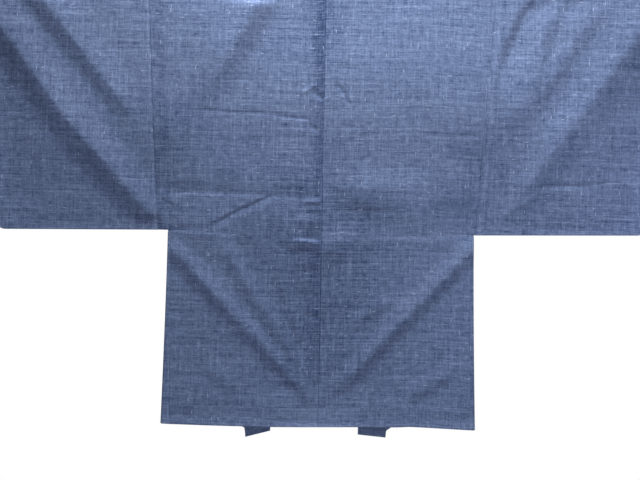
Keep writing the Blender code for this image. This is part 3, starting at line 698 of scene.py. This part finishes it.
def sleeve_wall(side, share, low_out, face):
    level = SLEEVE_LEVELS[face][:, None] ** ROW_CROWDING
    h = mix(sleeve_low_h(side, low_out) + SLIT, BAR_H - droop(side, share), level)
    out = mix(armhole_x(side, h) + GAP / 2, sleeve_out_x(side, h), share)
    above_fold = h - sleeve_low_h(side, low_out) + SEAM_START
    seam = np.minimum(out - armhole_x(side, h), above_fold)
    y = wall_y(side, side.sign * out, h, face, seam)
    edge = smooth(1 - (sleeve_out_x(side, h) - out) / CURL_REACH)
    cuff = smooth((h - CUFF_LOW) / CUFF_EASE)
    shut = (1 - cuff) * edge * (SLIT - SEWN_EDGE)
    return place(side.sign * out, y - face * (shut + CURL * cuff * edge), h), h


def sleeve(side):
    share = (SLEEVE_OUTS[None, :] - LEFT.underarm_x) / (SLEEVE_OUT_LOW - LEFT.underarm_x)
    low_out = mix(side.underarm_x, SLEEVE_OUT_LOW, share)
    back, h = sleeve_wall(side, share, low_out, -1)
    front, front_h = sleeve_wall(side, share, low_out, 1)
    t = np.linspace(0.0, math.pi, WRAP_STEPS + 1)[1:-1, None]
    out = mix(armhole_x(side, BAR_H) + GAP / 2, sleeve_out_x(side, BAR_H), share)
    radius = sleeve_depth(side, out, BAR_H)
    over_h = BAR_H - droop(side, share) + radius * np.sin(t)
    over = place(side.sign * out, -radius * np.cos(t), over_h)
    angle = math.pi * np.arange(1, BOTTOM_STEPS)[:, None] / BOTTOM_STEPS
    half = np.abs(back[:1, :, 1])
    under_out = np.maximum(low_out, side.underarm_x + GAP / 2)
    under_h = sleeve_low_h(side, low_out) + SLIT * (1 - np.sin(angle))
    under = place(side.sign * under_out, half * np.cos(angle), under_h)
    points = np.concatenate([back, over, front[::-1], under])
    around = 2 * BAR_H + math.pi * WRAP
    v = np.concatenate([h, BAR_H + WRAP * t + 0 * out, around - front_h[::-1],
                        around - front_h[:1] + SLIT * angle])
    height = np.clip(points[..., 2] - HEM_Z, side.underarm_h, BAR_H)
    bottom = points[..., 2] - HEM_Z - sleeve_low_h(side, low_out)
    sewing = {"armhole": side.sign * points[..., 0] - armhole_x(side, height),
              "hem": np.where(bottom < SLEEVE_EDGE, bottom, FAR)}
    piece = cloth("shell_sleeve_" + side.name, points, points[..., 0], v, sewing, ring=True)
    return stand_for(piece, "sleeve_" + side.name)


shells += [sleeve(LEFT), sleeve(RIGHT)]

# %% [markdown]
# ## The side gussets
# Below each sleeve a narrow wedge joins back and front. Hung flat it folds round the side edge,
# so only a strip of it shows from behind. Its section is two short flats and a half round.

# %% Gussets
GUSSET_FLAT_STEPS = 5
GUSSET_BEND_STEPS = 14
GUSSET_SQUARE = 0.55        # below 1 the side edge turns more sharply than a half round
GUSSET_TUCK = 0.0010        # how far its top goes up behind the panels
TUCK_DROP = 1.2 * CLOTH     # and how far it is drawn in there
TUCK_FROM = 0.004           # below the underarm, where it starts to be drawn in
TUCK_LENGTH = 0.003
GUSSET_BEND = 0.8           # share of its back flat that the round edge may take
MAP_ROW = -40               # row from the top whose widths the weave is laid out by


def gusset_rows(side, h, level, drop):
    """Section points at heights h (a column vector), pushed inward by drop, seen from the hem."""
    edge = side_x(side, h)
    back_out = edge - mix(side.gusset_back, GUSSET_TOP, level) + GAP
    front_out = edge - mix(GUSSET_FRONT, GUSSET_TOP, level) + GAP
    near = np.zeros_like(h)
    back_y = wall_y(side, side.sign * back_out, h, -1, near) + drop
    front_y = wall_y(side, side.sign * front_out, h, 1, near) - drop
    bend = np.minimum(GUSSET_BEND * (edge - back_out), -back_y)
    centre = edge - CAD_WALL / 2 - bend
    flat = np.linspace(0.0, 1.0, GUSSET_FLAT_STEPS)[None, :-1]
    angle = np.linspace(0.0, math.pi, GUSSET_BEND_STEPS + 1)[None, :]
    round_out = centre + (bend - drop) * np.sin(angle) ** GUSSET_SQUARE
    out = np.hstack([mix(back_out, centre, flat), round_out, mix(front_out, centre, flat)[:, ::-1]])
    turn = mix(back_y, front_y, (1 - np.cos(angle)) / 2)
    return out, np.hstack([back_y + 0 * flat, turn, front_y + 0 * flat])


def gusset(side):
    level = spaced(side.underarm_h)[:, None]
    h = side.underarm_h * level
    tuck = smooth((h - side.underarm_h + TUCK_FROM) / TUCK_LENGTH)
    out, y = gusset_rows(side, h, level, TUCK_DROP * tuck)
    share = np.linspace(0.0, 1.0, out.shape[1])[None, :]
    hem = mix(along(BACK_HEM, side.sign * out), along(FRONT_HEM, side.sign * out), share)
    height = mix(hem + HEM_ROUND, side.underarm_h + GUSSET_TUCK, level)
    rise = HEM_TURN * TURN_UP[::-1, None]
    in_out, in_y = gusset_rows(side, rise, rise / side.underarm_h, 2 * HEM_ROUND)
    bend_out, bend_y = gusset_rows(side, 0 * h[:1], 0 * h[:1], HEM_ROUND)
    points = np.concatenate([
        place(side.sign * in_out, in_y, hem[:1] + HEM_ROUND + rise),
        place(side.sign * bend_out, bend_y, hem[:1]),
        place(side.sign * out, y, height)])
    v = np.vstack([-rise + 0 * in_out, 0 * bend_out, h + 0 * out])
    widths = np.linalg.norm(np.diff(points[MAP_ROW], axis=0), axis=1)
    across = np.cumsum(np.hstack([[0.0], widths]))
    u = side.sign * (side.side_hem_x + across)[None, :] + 0 * v
    return stand_for(cloth("shell_machi_" + side.name, points, u, v, {"hem": v}),
                     "machi_" + side.name)


shells += [gusset(LEFT), gusset(RIGHT)]

# %% [markdown]
# ## The collar
# One long strip is sewn to the neck and both fronts and folded outward. It stands up behind the
# neck, turns over a slanting edge on the shoulder and hangs down both fronts to below the hem.
# Its section has two layers with a round fold between them, and rows in the turn lie aslant.

# %% Collar
LEG_STEPS = 15
BEND_STEPS = 8
COLLAR_BACK_STEPS = 26
COLLAR_TURN_STEPS = 18
COLLAR_FRONT_STEPS = 250
EASE_SHARE = 1 / 9          # of the front, in which the outer layer reaches over the seam again
END_SHARE = 0.04            # of the front, in which that lap is drawn in at the closed end


def collar_section(band, turning, over=BAND_LAP):
    """Distances from the seam, and out of the cloth, of one row."""
    start = mix(GAP, TURN_GAP, smooth(turning))
    lap = mix(-over, TURN_GAP, smooth(turning))
    bend = BAND_SPACE / 2
    fold = band - bend
    leg = np.linspace(0.0, 1.0, LEG_STEPS + 1)
    angle = np.linspace(0.0, math.pi, BEND_STEPS + 1)
    d = np.concatenate([mix(start, fold, leg[:-1]), fold + bend * np.sin(angle),
                        mix(fold, lap, leg[1:])])
    n = np.concatenate([0 * leg[:-1], bend - bend * np.cos(angle), BAND_SPACE + 0 * leg[1:]])
    return d, n


def collar_turn(side, s, d, n):
    past = s - NECK_HALF
    lean = math.sqrt(2)
    t = (past + d) / lean / WRAP
    slide = (d - past) / lean
    reach = (WRAP + n) * np.sin(t)
    out = np.where(t <= 0, s, NECK_HALF + (reach - slide) / lean)
    h = np.where(t <= 0, SEAM_H + d, SEAM_H + (reach + slide) / lean)
    y = np.where(t <= 0, -WRAP - n, -(WRAP + n) * np.cos(t))
    return place(side.sign * out, y, h)


def collar_front(side, share, d, n, band):
    bottom = mix(side.tip_seam_h, side.tip_fold_h, d / band)
    h = mix(SEAM_H - TURN + d, bottom, share)
    x = side.sign * (collar_seam_x(side, np.maximum(h, 0.0)) - d)
    near = np.clip(h, 0.0, BAR_H)
    return place(x, wall_y(side, x, near, 1, FAR + 0 * x) + n, h)


def collar_half(side):
    rows, ways = [], []
    for step in range(COLLAR_BACK_STEPS):
        share = step / COLLAR_BACK_STEPS
        d, n = collar_section(BAND_NECK, share)
        rows.append(collar_turn(side, share * (NECK_HALF - d), d, n))
        ways.append(share * NECK_HALF)
    for step in range(COLLAR_TURN_STEPS):
        slant = 2 * TURN * step / COLLAR_TURN_STEPS
        d, n = collar_section(BAND_NECK, 1.0)
        rows.append(collar_turn(side, NECK_HALF + slant - d, d, n))
        ways.append(NECK_HALF + slant)
    for step in range(COLLAR_FRONT_STEPS + 1):
        share = step / COLLAR_FRONT_STEPS
        band = mix(BAND_NECK, side.band, share)
        over = BAND_LAP * smooth((1 - share) / END_SHARE)
        d, n = collar_section(band, 1 - share / EASE_SHARE, over)
        rows.append(collar_front(side, share, d, n, band))
        ways.append(NECK_HALF + 2 * TURN + share * BAR_H)
    return np.array(rows), side.sign * np.array(ways)


def collar():
    left, left_way = collar_half(LEFT)
    right, right_way = collar_half(RIGHT)
    points = np.concatenate([left[::-1], right[1:]])
    v = np.concatenate([left_way[::-1], right_way[1:]])[:, None] + np.zeros(points.shape[:2])
    across = np.linalg.norm(np.diff(points, axis=1), axis=2)
    u = np.hstack([np.zeros((len(points), 1)), np.cumsum(across, axis=1)])
    to_end = np.abs(v).max() - np.abs(v)
    return stand_for(cloth("shell_collar", points, u, v, {"hem": to_end}), "collar")


shells.append(collar())

# %% [markdown]
# ## Bar and hook
# What holds a haori flat is a plain turned bar through both sleeves with a wire hook let into
# its middle. Neither is remarkable, but both show at the neck and through the cuffs. The bar is a
# turned outline with eased ends. The hook is a wire swept along two arcs with a curve's bevel, and
# is made a mesh at once, because a curve's own box ignores how thick its wire is.

# %% Bar
BAR_RADIUS = (BAR_HIGH.z - BAR_LOW.z) / 2
BAR_HALF = BAR_HIGH.x
BAR_EASE = 0.004
BAR_SIDES = 64
BAR_EASE_STEPS = 6
WIRE_RADIUS = 0.0025


def turned_bar():
    ease = [math.pi / 2 * i / BAR_EASE_STEPS for i in range(BAR_EASE_STEPS + 1)]
    end = [(BAR_HALF - BAR_EASE * (1 - math.sin(a)), BAR_RADIUS - BAR_EASE * (1 - math.cos(a)))
           for a in ease]
    outline = [(-x, r) for x, r in end[::-1]] + end
    angles = [2 * math.pi * i / BAR_SIDES for i in range(BAR_SIDES)]
    points = [(x, r * math.cos(a), BAR_Z + r * math.sin(a)) for x, r in outline for a in angles]
    faces = [[i * BAR_SIDES + j, i * BAR_SIDES + (j + 1) % BAR_SIDES,
              (i + 1) * BAR_SIDES + (j + 1) % BAR_SIDES, (i + 1) * BAR_SIDES + j]
             for i in range(len(outline) - 1) for j in range(BAR_SIDES)]
    faces += [list(range(BAR_SIDES)), list(range(len(points) - 1, len(points) - 1 - BAR_SIDES, -1))]
    mesh = bpy.data.meshes.new("turned_bar")
    mesh.from_pydata(points, [], faces)
    mesh.shade_smooth()
    mesh.set_sharp_from_angle(angle=RIM_ANGLE)
    return bpy.data.objects.new("turned_bar", mesh)


wood_bar = turned_bar()
bpy.context.scene.collection.objects.link(wood_bar)
stand_for(wood_bar, "hanger_bar")
print("bar", round(2000 * BAR_HALF), "mm long,", round(2000 * BAR_RADIUS, 1), "mm thick")

# %% Hook
HOOK_RADIUS = 0.020
HOOK_TIP_ANGLE = 205
HOOK_MEETING_ANGLE = 60
HOOK_STEPS = 48
NECK_BEND_STEPS = 16


def hook_path():
    top = WIRE_RADIUS - HOOK_RADIUS
    path = []
    for step in range(HOOK_STEPS + 1):
        angle = math.radians(mix(HOOK_TIP_ANGLE, -HOOK_MEETING_ANGLE, step / HOOK_STEPS))
        path.append((HOOK_RADIUS * math.cos(angle), 0.0, top + HOOK_RADIUS * math.sin(angle)))
    low = top - 2 * HOOK_RADIUS * math.sin(math.radians(HOOK_MEETING_ANGLE))
    for step in range(1, NECK_BEND_STEPS + 1):
        angle = math.radians(mix(180 - HOOK_MEETING_ANGLE, 180, step / NECK_BEND_STEPS))
        path.append((HOOK_RADIUS + HOOK_RADIUS * math.cos(angle), 0.0,
                     low + HOOK_RADIUS * math.sin(angle)))
    return path + [(0.0, 0.0, mix(low, HOOK_LOW.z, 0.5)), (0.0, 0.0, HOOK_LOW.z)]


hook_curve = bpy.data.curves.new("wire_hook", "CURVE")
hook_curve.dimensions = "3D"
hook_curve.bevel_depth = WIRE_RADIUS
hook_curve.bevel_resolution = 8
hook_curve.use_fill_caps = True
hook_line = hook_curve.splines.new("POLY")
hook_points = hook_path()
hook_line.points.add(len(hook_points) - 1)
for point, co in zip(hook_line.points, hook_points):
    point.co = (*co, 1.0)
hook_guide = bpy.data.objects.new("hook_guide", hook_curve)
hook_mesh = bpy.data.meshes.new_from_object(hook_guide)
bpy.data.objects.remove(hook_guide)
hook_mesh.shade_smooth()
hook_mesh.set_sharp_from_angle(angle=RIM_ANGLE)
wire_hook = bpy.data.objects.new("wire_hook", hook_mesh)
bpy.context.scene.collection.objects.link(wire_hook)
stand_for(wire_hook, "hanger_hook")
print("hook of", len(hook_points), "points")

# %% [markdown]
# ## Writing a finish as sums
# Shader nodes are easier to read as arithmetic. A small class wraps one output socket, and its
# operators add Math nodes, so 1 - mask or mask * 0.5 works as on numbers. Every other node comes
# from one method, which takes the node's type, its settings and the values of its sockets.

# %% Shader helper
class Value:
    """One output socket of a node."""

    def __init__(self, finish, socket):
        self.finish = finish
        self.socket = socket

    def math(self, operation, first, second):
        return self.finish.node("Math", {"operation": operation}, {0: first, 1: second})

    def __add__(self, other):
        return self.math("ADD", self, other)

    def __radd__(self, other):
        return self.math("ADD", other, self)

    def __sub__(self, other):
        return self.math("SUBTRACT", self, other)

    def __rsub__(self, other):
        return self.math("SUBTRACT", other, self)

    def __mul__(self, other):
        return self.math("MULTIPLY", self, other)

    def __rmul__(self, other):
        return self.math("MULTIPLY", other, self)

    def __abs__(self):
        return self.math("ABSOLUTE", self, 0.0)

    def ramp(self, low, high):
        """0 at low, 1 at high and eased between. The two may be in either order."""
        return self.finish.node("MapRange", {"interpolation_type": "SMOOTHSTEP"},
                                {"Value": self, "From Min": low, "From Max": high})

    def line(self, at, reach):
        """1 where the value is nearly at, and 0 a reach away from it."""
        return abs(self - at).ramp(reach, reach * 0.3)

    def band(self, low, high, soft):
        """1 between low and high, and 0 a soft edge outside them."""
        return self.ramp(low - soft, low) * self.ramp(high + soft, high)


class Finish:
    """The nodes of a material, or of the world, added one call at a time."""

    def __init__(self, owner, shader="Principled BSDF"):
        owner.use_nodes = True
        self.owner = owner
        self.tree = owner.node_tree
        self.shader = self.tree.nodes[shader]

    def node(self, kind, settings=None, sockets=None, output=0):
        made = self.tree.nodes.new("ShaderNode" + kind)
        for key, value in (settings or {}).items():
            setattr(made, key, value)
        for key, value in (sockets or {}).items():
            if isinstance(value, Value):
                self.tree.links.new(value.socket, made.inputs[key])
            else:
                made.inputs[key].default_value = value
        return Value(self, made.outputs[output])

    def give(self, **inputs):
        """Sets or links sockets of the shader itself, spaces written as underscores."""
        for key, value in inputs.items():
            target = self.shader.inputs[key.replace("_", " ")]
            if isinstance(value, Value):
                self.tree.links.new(value.socket, target)
            else:
                target.default_value = value

    def stretched(self, where, scale):
        return self.node("VectorMath", {"operation": "MULTIPLY"}, {0: where, 1: scale})

    def streaks(self, where, across, up, detail=1.0, roughness=0.5):
        """Noise drawn out along one yarn: across and up are its waves to the metre."""
        return self.node("TexNoise", {"noise_dimensions": "2D"},
                         {"Vector": self.stretched(where, (across, up, 1.0)), "Scale": 1.0,
                          "Detail": detail, "Roughness": roughness})

    def neps(self, where, across, up, size, share):
        """Small bright spots in a stretched grid, in the share of its cells that is given."""
        cells = {"Vector": self.stretched(where, (across, up, 1.0)), "Scale": 1.0}
        near = self.node("TexVoronoi", {"voronoi_dimensions": "2D"}, cells)
        which = self.node("TexVoronoi", {"voronoi_dimensions": "2D"}, cells, output=2)
        pick = self.node("TexWhiteNoise", {"noise_dimensions": "3D"}, {"Vector": which})
        return near.ramp(size, size * 0.4) * pick.ramp(1 - share, 1 - share * 0.3)

    def blend(self, factor, first, second):
        """Two colours through one Mix node."""
        return self.node("Mix", {"data_type": "RGBA"}, {0: factor, 6: first, 7: second}, output=2)


print("helpers ready")

# %% [markdown]
# ## Painted light and shade at the sewing
# Beside each armhole seam the cloth over the raised allowances gets a paler strip of painted
# highlight with painted shade beside it, and each seam a fine dark line of painted shadow. The
# strip over the centre seam's allowances and the cloth beside the neck get painted shade, and a
# dotted painted highlight runs just right of that seam. The turned hem shows as a faint line, its
# middle gets painted light and its edge painted shade, painted shade runs down the middle of the
# back, and the ends of gussets, fronts and collar get painted light. The distances kept on each
# point place these marks at their true width, and each adds to or takes from the tone of the yarns.

# %% Painted light and shade at seams and hems, with widths in metres and strengths as shares of the range of tones
CENTRE_PLY = 0.014          # width of the allowances beside the centre seam
# painted highlight over the armhole allowances, and painted shade beside them
LEFT_PLY_HIGHLIGHT, RIGHT_PLY_HIGHLIGHT = 0.15, 0.12            # how much paler the cloth is over them at the armholes
LEFT_SHADE, RIGHT_SHADE = 0.16, 0.07        # how much darker it is beside that
# painted shadow in the seams of the armholes and the centre
ARMHOLE_GROOVE_SHADOW = 0.10
CENTRE_GROOVE_SHADOW = 0.24                        # low down, and fainter by the next value high up
GROOVE_SHADOW_LESS = 0.14
# painted shade over the centre seam's allowances, and beside the neck
UNDER_PLY_SHADE = 0.12                            # the darker strip beside the centre seam
BESIDE_NECK_SHADE = 0.20
# painted highlight in a dotted line right of the centre seam
DOTTED_HIGHLIGHT = 0.20
TURN_EDGE = 0.05                            # the line of the turned hem, and the hem itself
# painted light on the middle of the hem, painted shade down the middle of the back and along the
# hem's edge
MIDDLE_HEM_LIGHT = 0.17
MIDDLE_BACK_SHADE = 0.10
HEM_EDGE_SHADE = 0.03
# painted light on the ends
ENDS_LIGHT = 0.16


def seam_marks_and_painted_light(cloth_finish):
    """Painted light and shade, and the turned hem's line, as shares of the cloth's range of tones.
    """
    armhole, centre, hem = (
        cloth_finish.node("Attribute", {"attribute_name": name}, output=2) for name in FIELDS)
    where = cloth_finish.node("UVMap", {"uv_map": "cloth"})
    uneven = cloth_finish.streaks(where, 30, 42, detail=2)
    high_up = hem.ramp(0.25, 0.60)
    left = cloth_finish.node("SeparateXYZ", {}, {0: where}).ramp(0.01, -0.01)
    right = 1 - left

    # painted highlight over the allowances, painted shade beside them and a painted shadow in the
    # seams of the sleeves
    ply_highlight = armhole.line(0.0040, 0.0040) * LEFT_PLY_HIGHLIGHT * left
    ply_highlight = ply_highlight + armhole.line(0.0090, 0.0040) * RIGHT_PLY_HIGHLIGHT * right
    shaded = armhole.band(-0.024, -0.003, 0.012) * uneven.ramp(0.25, 0.65) * LEFT_SHADE * left
    shaded = shaded + armhole.line(0.0190, 0.0040) * RIGHT_SHADE * right
    groove_shadow = armhole.line(0.0, 0.0018) * ARMHOLE_GROOVE_SHADOW

    # the centre seam, whose allowances lie to the left: a painted shadow in the seam, painted shade
    # over the allowances and beside the neck, and a dotted painted highlight right of it
    groove_shadow = groove_shadow + centre.line(0.0012, 0.0013) * (CENTRE_GROOVE_SHADOW - GROOVE_SHADOW_LESS * high_up)
    under = centre.ramp(-2.4 * CENTRE_PLY, -0.2 * CENTRE_PLY) * centre.ramp(0.002, 0.001)
    under = under * (UNDER_PLY_SHADE + UNDER_PLY_SHADE * high_up) * (0.5 + uneven) * hem.ramp(0.04, 0.22)
    under = under * (1 - hem.band(0.36, 0.45, 0.02) * 0.6)
    beside = abs(centre).ramp(0.060, 0.0) * hem.ramp(0.62, 0.86) * BESIDE_NECK_SHADE
    dotted_highlight = centre.line(0.0042, 0.0014) * uneven.ramp(0.40, 0.60) * DOTTED_HIGHLIGHT

    # the turned hem, with painted light on its middle, and painted shade down the middle of the
    # back and along the hem's very edge
    hem_fold_and_light = hem.line(HEM_TURN, 0.0016) * TURN_EDGE
    hem_fold_and_light = hem_fold_and_light + hem.ramp(HEM_TURN + 0.001, HEM_TURN - 0.001) * TURN_EDGE
    hem_fold_and_light = hem_fold_and_light + abs(centre).ramp(0.11, 0.01) * hem.ramp(0.045, 0.012) * MIDDLE_HEM_LIGHT
    middle_shade = abs(centre).ramp(0.21, 0.03) * hem.ramp(0.05, 0.14)
    middle_shade = middle_shade * hem.ramp(0.64, 0.40) * MIDDLE_BACK_SHADE
    hem_edge_shade = hem.ramp(0.0030, 0.0008) * HEM_EDGE_SHADE

    # painted light on the ends of gussets, fronts and collar, which have neither armhole nor centre
    # near
    ends = hem.ramp(0.030, 0.006) * (centre + armhole).ramp(1.5 * FAR, 1.9 * FAR) * ENDS_LIGHT
    return ply_highlight + dotted_highlight + hem_fold_and_light + ends - shaded - groove_shadow - under - beside - middle_shade - hem_edge_shade


print("marks for", len(FIELDS), "distances")

# %% [markdown]
# ## Indigo pongee
# Pongee is woven from hand-spun silk whose yarns swell and thin, so pale slubs show as short
# streaks both across and up the cloth, with a bright nep here and there. A photograph of the
# weave would do it too, but noise drawn out along either yarn, in metres on the cloth map, never
# repeats. The same streaks raise the surface a little, and a sheen lays soft light over it.

# %% Cloth finish
DEEP_INDIGO = (0.0225, 0.042, 0.106, 1.0)
PALE_INDIGO = (0.164, 0.219, 0.356, 1.0)
NEP_WHITE = (0.48, 0.56, 0.72, 1.0)
Streak = namedtuple("Streak", ("across", "up", "detail", "roughness", "tone"))
STREAKS = {                 # waves to the metre across and up, and the share of the tone
    "weft": Streak(60, 400, 2, 0.5, 0.62),
    "warp": Streak(400, 65, 2, 0.5, 0.44),
    "long_weft": Streak(9, 300, 1, 0.5, 0.56),
    "long_warp": Streak(280, 11, 1, 0.5, 0.40),
    "bars": Streak(2.5, 150, 1, 0.5, 0.22),
    "grain": Streak(270, 270, 2, 0.5, 0.60),
    "mottle": Streak(80, 80, 3, 0.6, 0.50)}
NEPS = ((70, 330, 0.34, 0.014), (330, 60, 0.34, 0.016), (110, 130, 0.15, 0.006))
SLUB_FROM, SLUB_FULL = 0.60, 0.72
SLUB_TONE = 0.16
NEP_SHARE = 0.42
WEAVE_DEPTH = 0.0004


def pongee():
    cloth_finish = Finish(bpy.data.materials.new("indigo_pongee_cloth"))
    where = cloth_finish.node("UVMap", {"uv_map": "cloth"})
    noises = {name: cloth_finish.streaks(where, *row[:4]) for name, row in STREAKS.items()}
    weft, warp, grain = noises["weft"], noises["warp"], noises["grain"]
    tone = 0.5
    for name, streak in noises.items():
        tone = tone + (streak - 0.5) * STREAKS[name].tone
    slub = (weft * 0.5 + noises["long_weft"] * 0.5).ramp(SLUB_FROM, SLUB_FULL)
    slub = slub + (warp * 0.5 + noises["long_warp"] * 0.5).ramp(SLUB_FROM, SLUB_FULL)
    shade = tone + slub * SLUB_TONE + seam_marks_and_painted_light(cloth_finish)
    color = cloth_finish.blend(shade, DEEP_INDIGO, PALE_INDIGO)
    first, second, third = (cloth_finish.neps(where, *row) for row in NEPS)
    color = cloth_finish.blend((first + second + third) * NEP_SHARE, color, NEP_WHITE)
    relief = weft * 0.5 + warp * 0.5 + grain * 0.5 + slub * 0.2
    bump = cloth_finish.node("Bump", {}, {"Strength": 0.35, "Distance": WEAVE_DEPTH,
                                          "Height": relief})
    cloth_finish.give(Base_Color=color, Roughness=0.86 - tone * 0.08, Normal=bump,
                      Sheen_Weight=0.08, Sheen_Roughness=0.45, Specular_IOR_Level=0.20)
    return cloth_finish.owner


pongee_material = pongee()
for shell in shells:
    shell.data.materials.clear()
    shell.data.materials.append(pongee_material)
print("cloth finish on", len(shells), "pieces")

# %% [markdown]
# ## Wood and steel
# The bar is pale wood with grain that runs its length, under a thin varnish. The hook is drawn
# steel wire, so its fine scratches run round and along it and only its roughness changes.

# %% Wood and steel finishes
PALE_WOOD = (0.73, 0.54, 0.34, 1.0)
BROWN_WOOD = (0.55, 0.36, 0.20, 1.0)
WOOD_PORES = (0.42, 0.26, 0.14, 1.0)
PALE_STEEL = (0.68, 0.68, 0.68, 1.0)
DULL_STEEL = (0.52, 0.52, 0.53, 1.0)


def wood():
    bar_finish = Finish(bpy.data.materials.new("pale_bar_wood"))
    where = bar_finish.node("TexCoord", output=3)
    rings = bar_finish.node("TexNoise", {}, {
        "Vector": bar_finish.stretched(where, (4.0, 140.0, 140.0)), "Scale": 1.0,
        "Detail": 4.0, "Distortion": 0.6})
    fine = bar_finish.node("TexNoise", {}, {
        "Vector": bar_finish.stretched(where, (30.0, 1400.0, 1400.0)), "Scale": 1.0,
        "Detail": 2.0})
    color = bar_finish.blend(rings.ramp(0.35, 0.68), BROWN_WOOD, PALE_WOOD)
    color = bar_finish.blend(fine * 0.35, color, WOOD_PORES)
    bump = bar_finish.node("Bump", {}, {"Strength": 0.25, "Distance": 0.0003, "Height": fine})
    bar_finish.give(Base_Color=color, Roughness=0.38 + fine * 0.2, Normal=bump, Coat_Weight=0.15)
    return bar_finish.owner


def steel():
    hook_finish = Finish(bpy.data.materials.new("drawn_steel_wire"))
    where = hook_finish.node("TexCoord", output=3)
    scratches = hook_finish.node("TexNoise", {}, {"Vector": where, "Scale": 900.0, "Detail": 3.0})
    cloudy = hook_finish.node("TexNoise", {}, {"Vector": where, "Scale": 60.0, "Detail": 2.0})
    color = hook_finish.blend(cloudy, DULL_STEEL, PALE_STEEL)
    bump = hook_finish.node("Bump", {}, {"Strength": 0.15, "Distance": 0.0001, "Height": scratches})
    hook_finish.give(Base_Color=color, Roughness=0.20 + scratches * 0.22, Normal=bump, Metallic=1.0)
    return hook_finish.owner


wood_bar.data.materials.append(wood())
wire_hook.data.materials.append(steel())
print("wood and steel finishes made")

# %% [markdown]
# ## What each cloth was cut from
# Every sheet's cut is printed with its size, all round where it is a tube. The sizes are those of
# the panels laid flat, and the area printed beside them is the smaller of the cut's and the
# shell's.

def declare(piece, width, length):
    area = min(flat_area[piece.name], width * length)
    print(piece.name, "cut", round(width, 3), "x", round(length, 3), "area", round(area, 4))


BODY_LENGTH = 2 * LENGTH + 2 * HEM_TURN
SLEEVE_BOTTOM = 0.01        # what the fold at the bottom takes
GUSSET_EDGE = 0.02          # what the round edge takes
COLLAR_ENDS = 0.03          # both ends together, below the hem
for side, panel, arm, wedge in zip((LEFT, RIGHT), shells[0:2], shells[2:4], shells[4:6]):
    declare(panel, side.shoulder_x, BODY_LENGTH)
    arm_length = 2 * (LENGTH - side.underarm_h) + SLEEVE_BOTTOM
    declare(arm, SLEEVE_OUT_TOP - side.underarm_x, arm_length)
    wedge_width = GUSSET_FRONT + side.gusset_back + GUSSET_EDGE
    declare(wedge, wedge_width, side.underarm_h + HEM_TURN)
collar_length = 2 * (NECK_HALF + TURN * 2 + LENGTH) + COLLAR_ENDS
declare(shells[6], 2 * RIGHT.band + BAND_LAP, collar_length)

# %% [markdown]
# ## Studio light
# Light that rakes down the cloth gives each fold a light side above its crest and a dark one
# below, so the key lamp hangs high above the middle. It points a little to one side, and its
# narrowed spread dims the other, as in the photograph. A weak lamp from the front, white boards at
# the sides and light from a pale floor fill the shadows. Each lamp has a twin on the other face of
# the garment. The world is white to the eye and dim as a light, so that the ground behind the
# cloth stays white without washing the folds out.

# %% Lights, world and floor
KEY_POWER = 63.0
KEY_SIZE = 0.6
KEY_SPREAD = math.radians(150)
KEY_AIM = 0.40              # the lamp points this far to the right of the middle
KEY_OUT = 0.46
KEY_RISE = 2.10             # above the hem
FRONTAL_POWER = 12.5
FRONTAL_SIZE = 1.6
FRONTAL_BACK = 0.4          # behind the camera
BOARD_POWER = {-1: 0.8, 1: 2.4}     # of the white boards at the left and the right
BOARD_SIZE = 0.5
BOARD_ASIDE = 0.98
BOARD_OUT = 0.50
BOARD_RISE = 0.26
BOARD_AIM_OUT = 0.50
BOARD_AIM_RISE = 0.40
LOW_POWER = 0.4             # light sent up by a pale floor
LOW_OUT = 0.50
LOW_DROP = 0.35
FILL_COLOR = (0.94, 0.96, 1.16)     # light from white walls is bluer than the lamp's
WORLD_FILL = 0.06
FLOOR_DROP = 0.90
FLOOR_RADIUS = 1.2
FLOOR_COLOR = (0.82, 0.82, 0.81, 1.0)
WHITE = (1.0, 1.0, 1.0, 1.0)


def lamp(name, place_at, aim, power, size, color=FILL_COLOR, spread=math.pi):
    data = bpy.data.lights.new(name, "AREA")
    data.energy = power
    data.size = size
    data.spread = spread
    data.color = color
    light = bpy.data.objects.new(name, data)
    light.location = place_at
    light.rotation_euler = (Vector(aim) - Vector(place_at)).to_track_quat("-Z", "Y").to_euler()
    light.visible_camera = False
    bpy.context.scene.collection.objects.link(light)


MIDDLE_Z = HEM_Z + 0.55
for face, where in ((-1, "behind"), (1, "in_front")):
    lamp("key_" + where, (0.0, face * KEY_OUT, HEM_Z + KEY_RISE),
         (-face * KEY_AIM, 0.0, MIDDLE_Z), KEY_POWER, KEY_SIZE, WHITE[:3], KEY_SPREAD)
    lamp("fill_" + where, (0.0, face * (VIEW_DISTANCE + FRONTAL_BACK), HEM_Z),
         (0.0, 0.0, MIDDLE_Z), FRONTAL_POWER, FRONTAL_SIZE)
    lamp("low_" + where, (0.0, face * LOW_OUT, HEM_Z - LOW_DROP),
         (0.0, 0.0, HEM_Z), LOW_POWER, BOARD_SIZE)
    for turn, power in BOARD_POWER.items():
        lamp("board_%s_%d" % (where, turn),
             (turn * BOARD_ASIDE, face * BOARD_OUT, HEM_Z + BOARD_RISE),
             (turn * BOARD_AIM_OUT, 0.0, HEM_Z + BOARD_AIM_RISE), power, BOARD_SIZE)

backdrop = Finish(bpy.data.worlds.new("studio"), "Background")
dim = (*(WORLD_FILL * part for part in FILL_COLOR), 1.0)
backdrop.give(Color=backdrop.blend(backdrop.node("LightPath"), dim, WHITE))
bpy.context.scene.world = backdrop.owner

bpy.ops.mesh.primitive_circle_add(vertices=128, radius=FLOOR_RADIUS, fill_type="NGON",
                                  location=(0, 0, HEM_Z - FLOOR_DROP))
floor = bpy.context.object
floor.name = "floor"
floor_finish = Finish(bpy.data.materials.new("pale_floor"))
floor_finish.give(Base_Color=FLOOR_COLOR, Roughness=0.9)
floor.data.materials.append(floor_finish.owner)
bpy.context.scene.view_settings.view_transform = "Standard"
print("key lamps of", KEY_POWER, "watts, floor", FLOOR_DROP, "m below the hem")
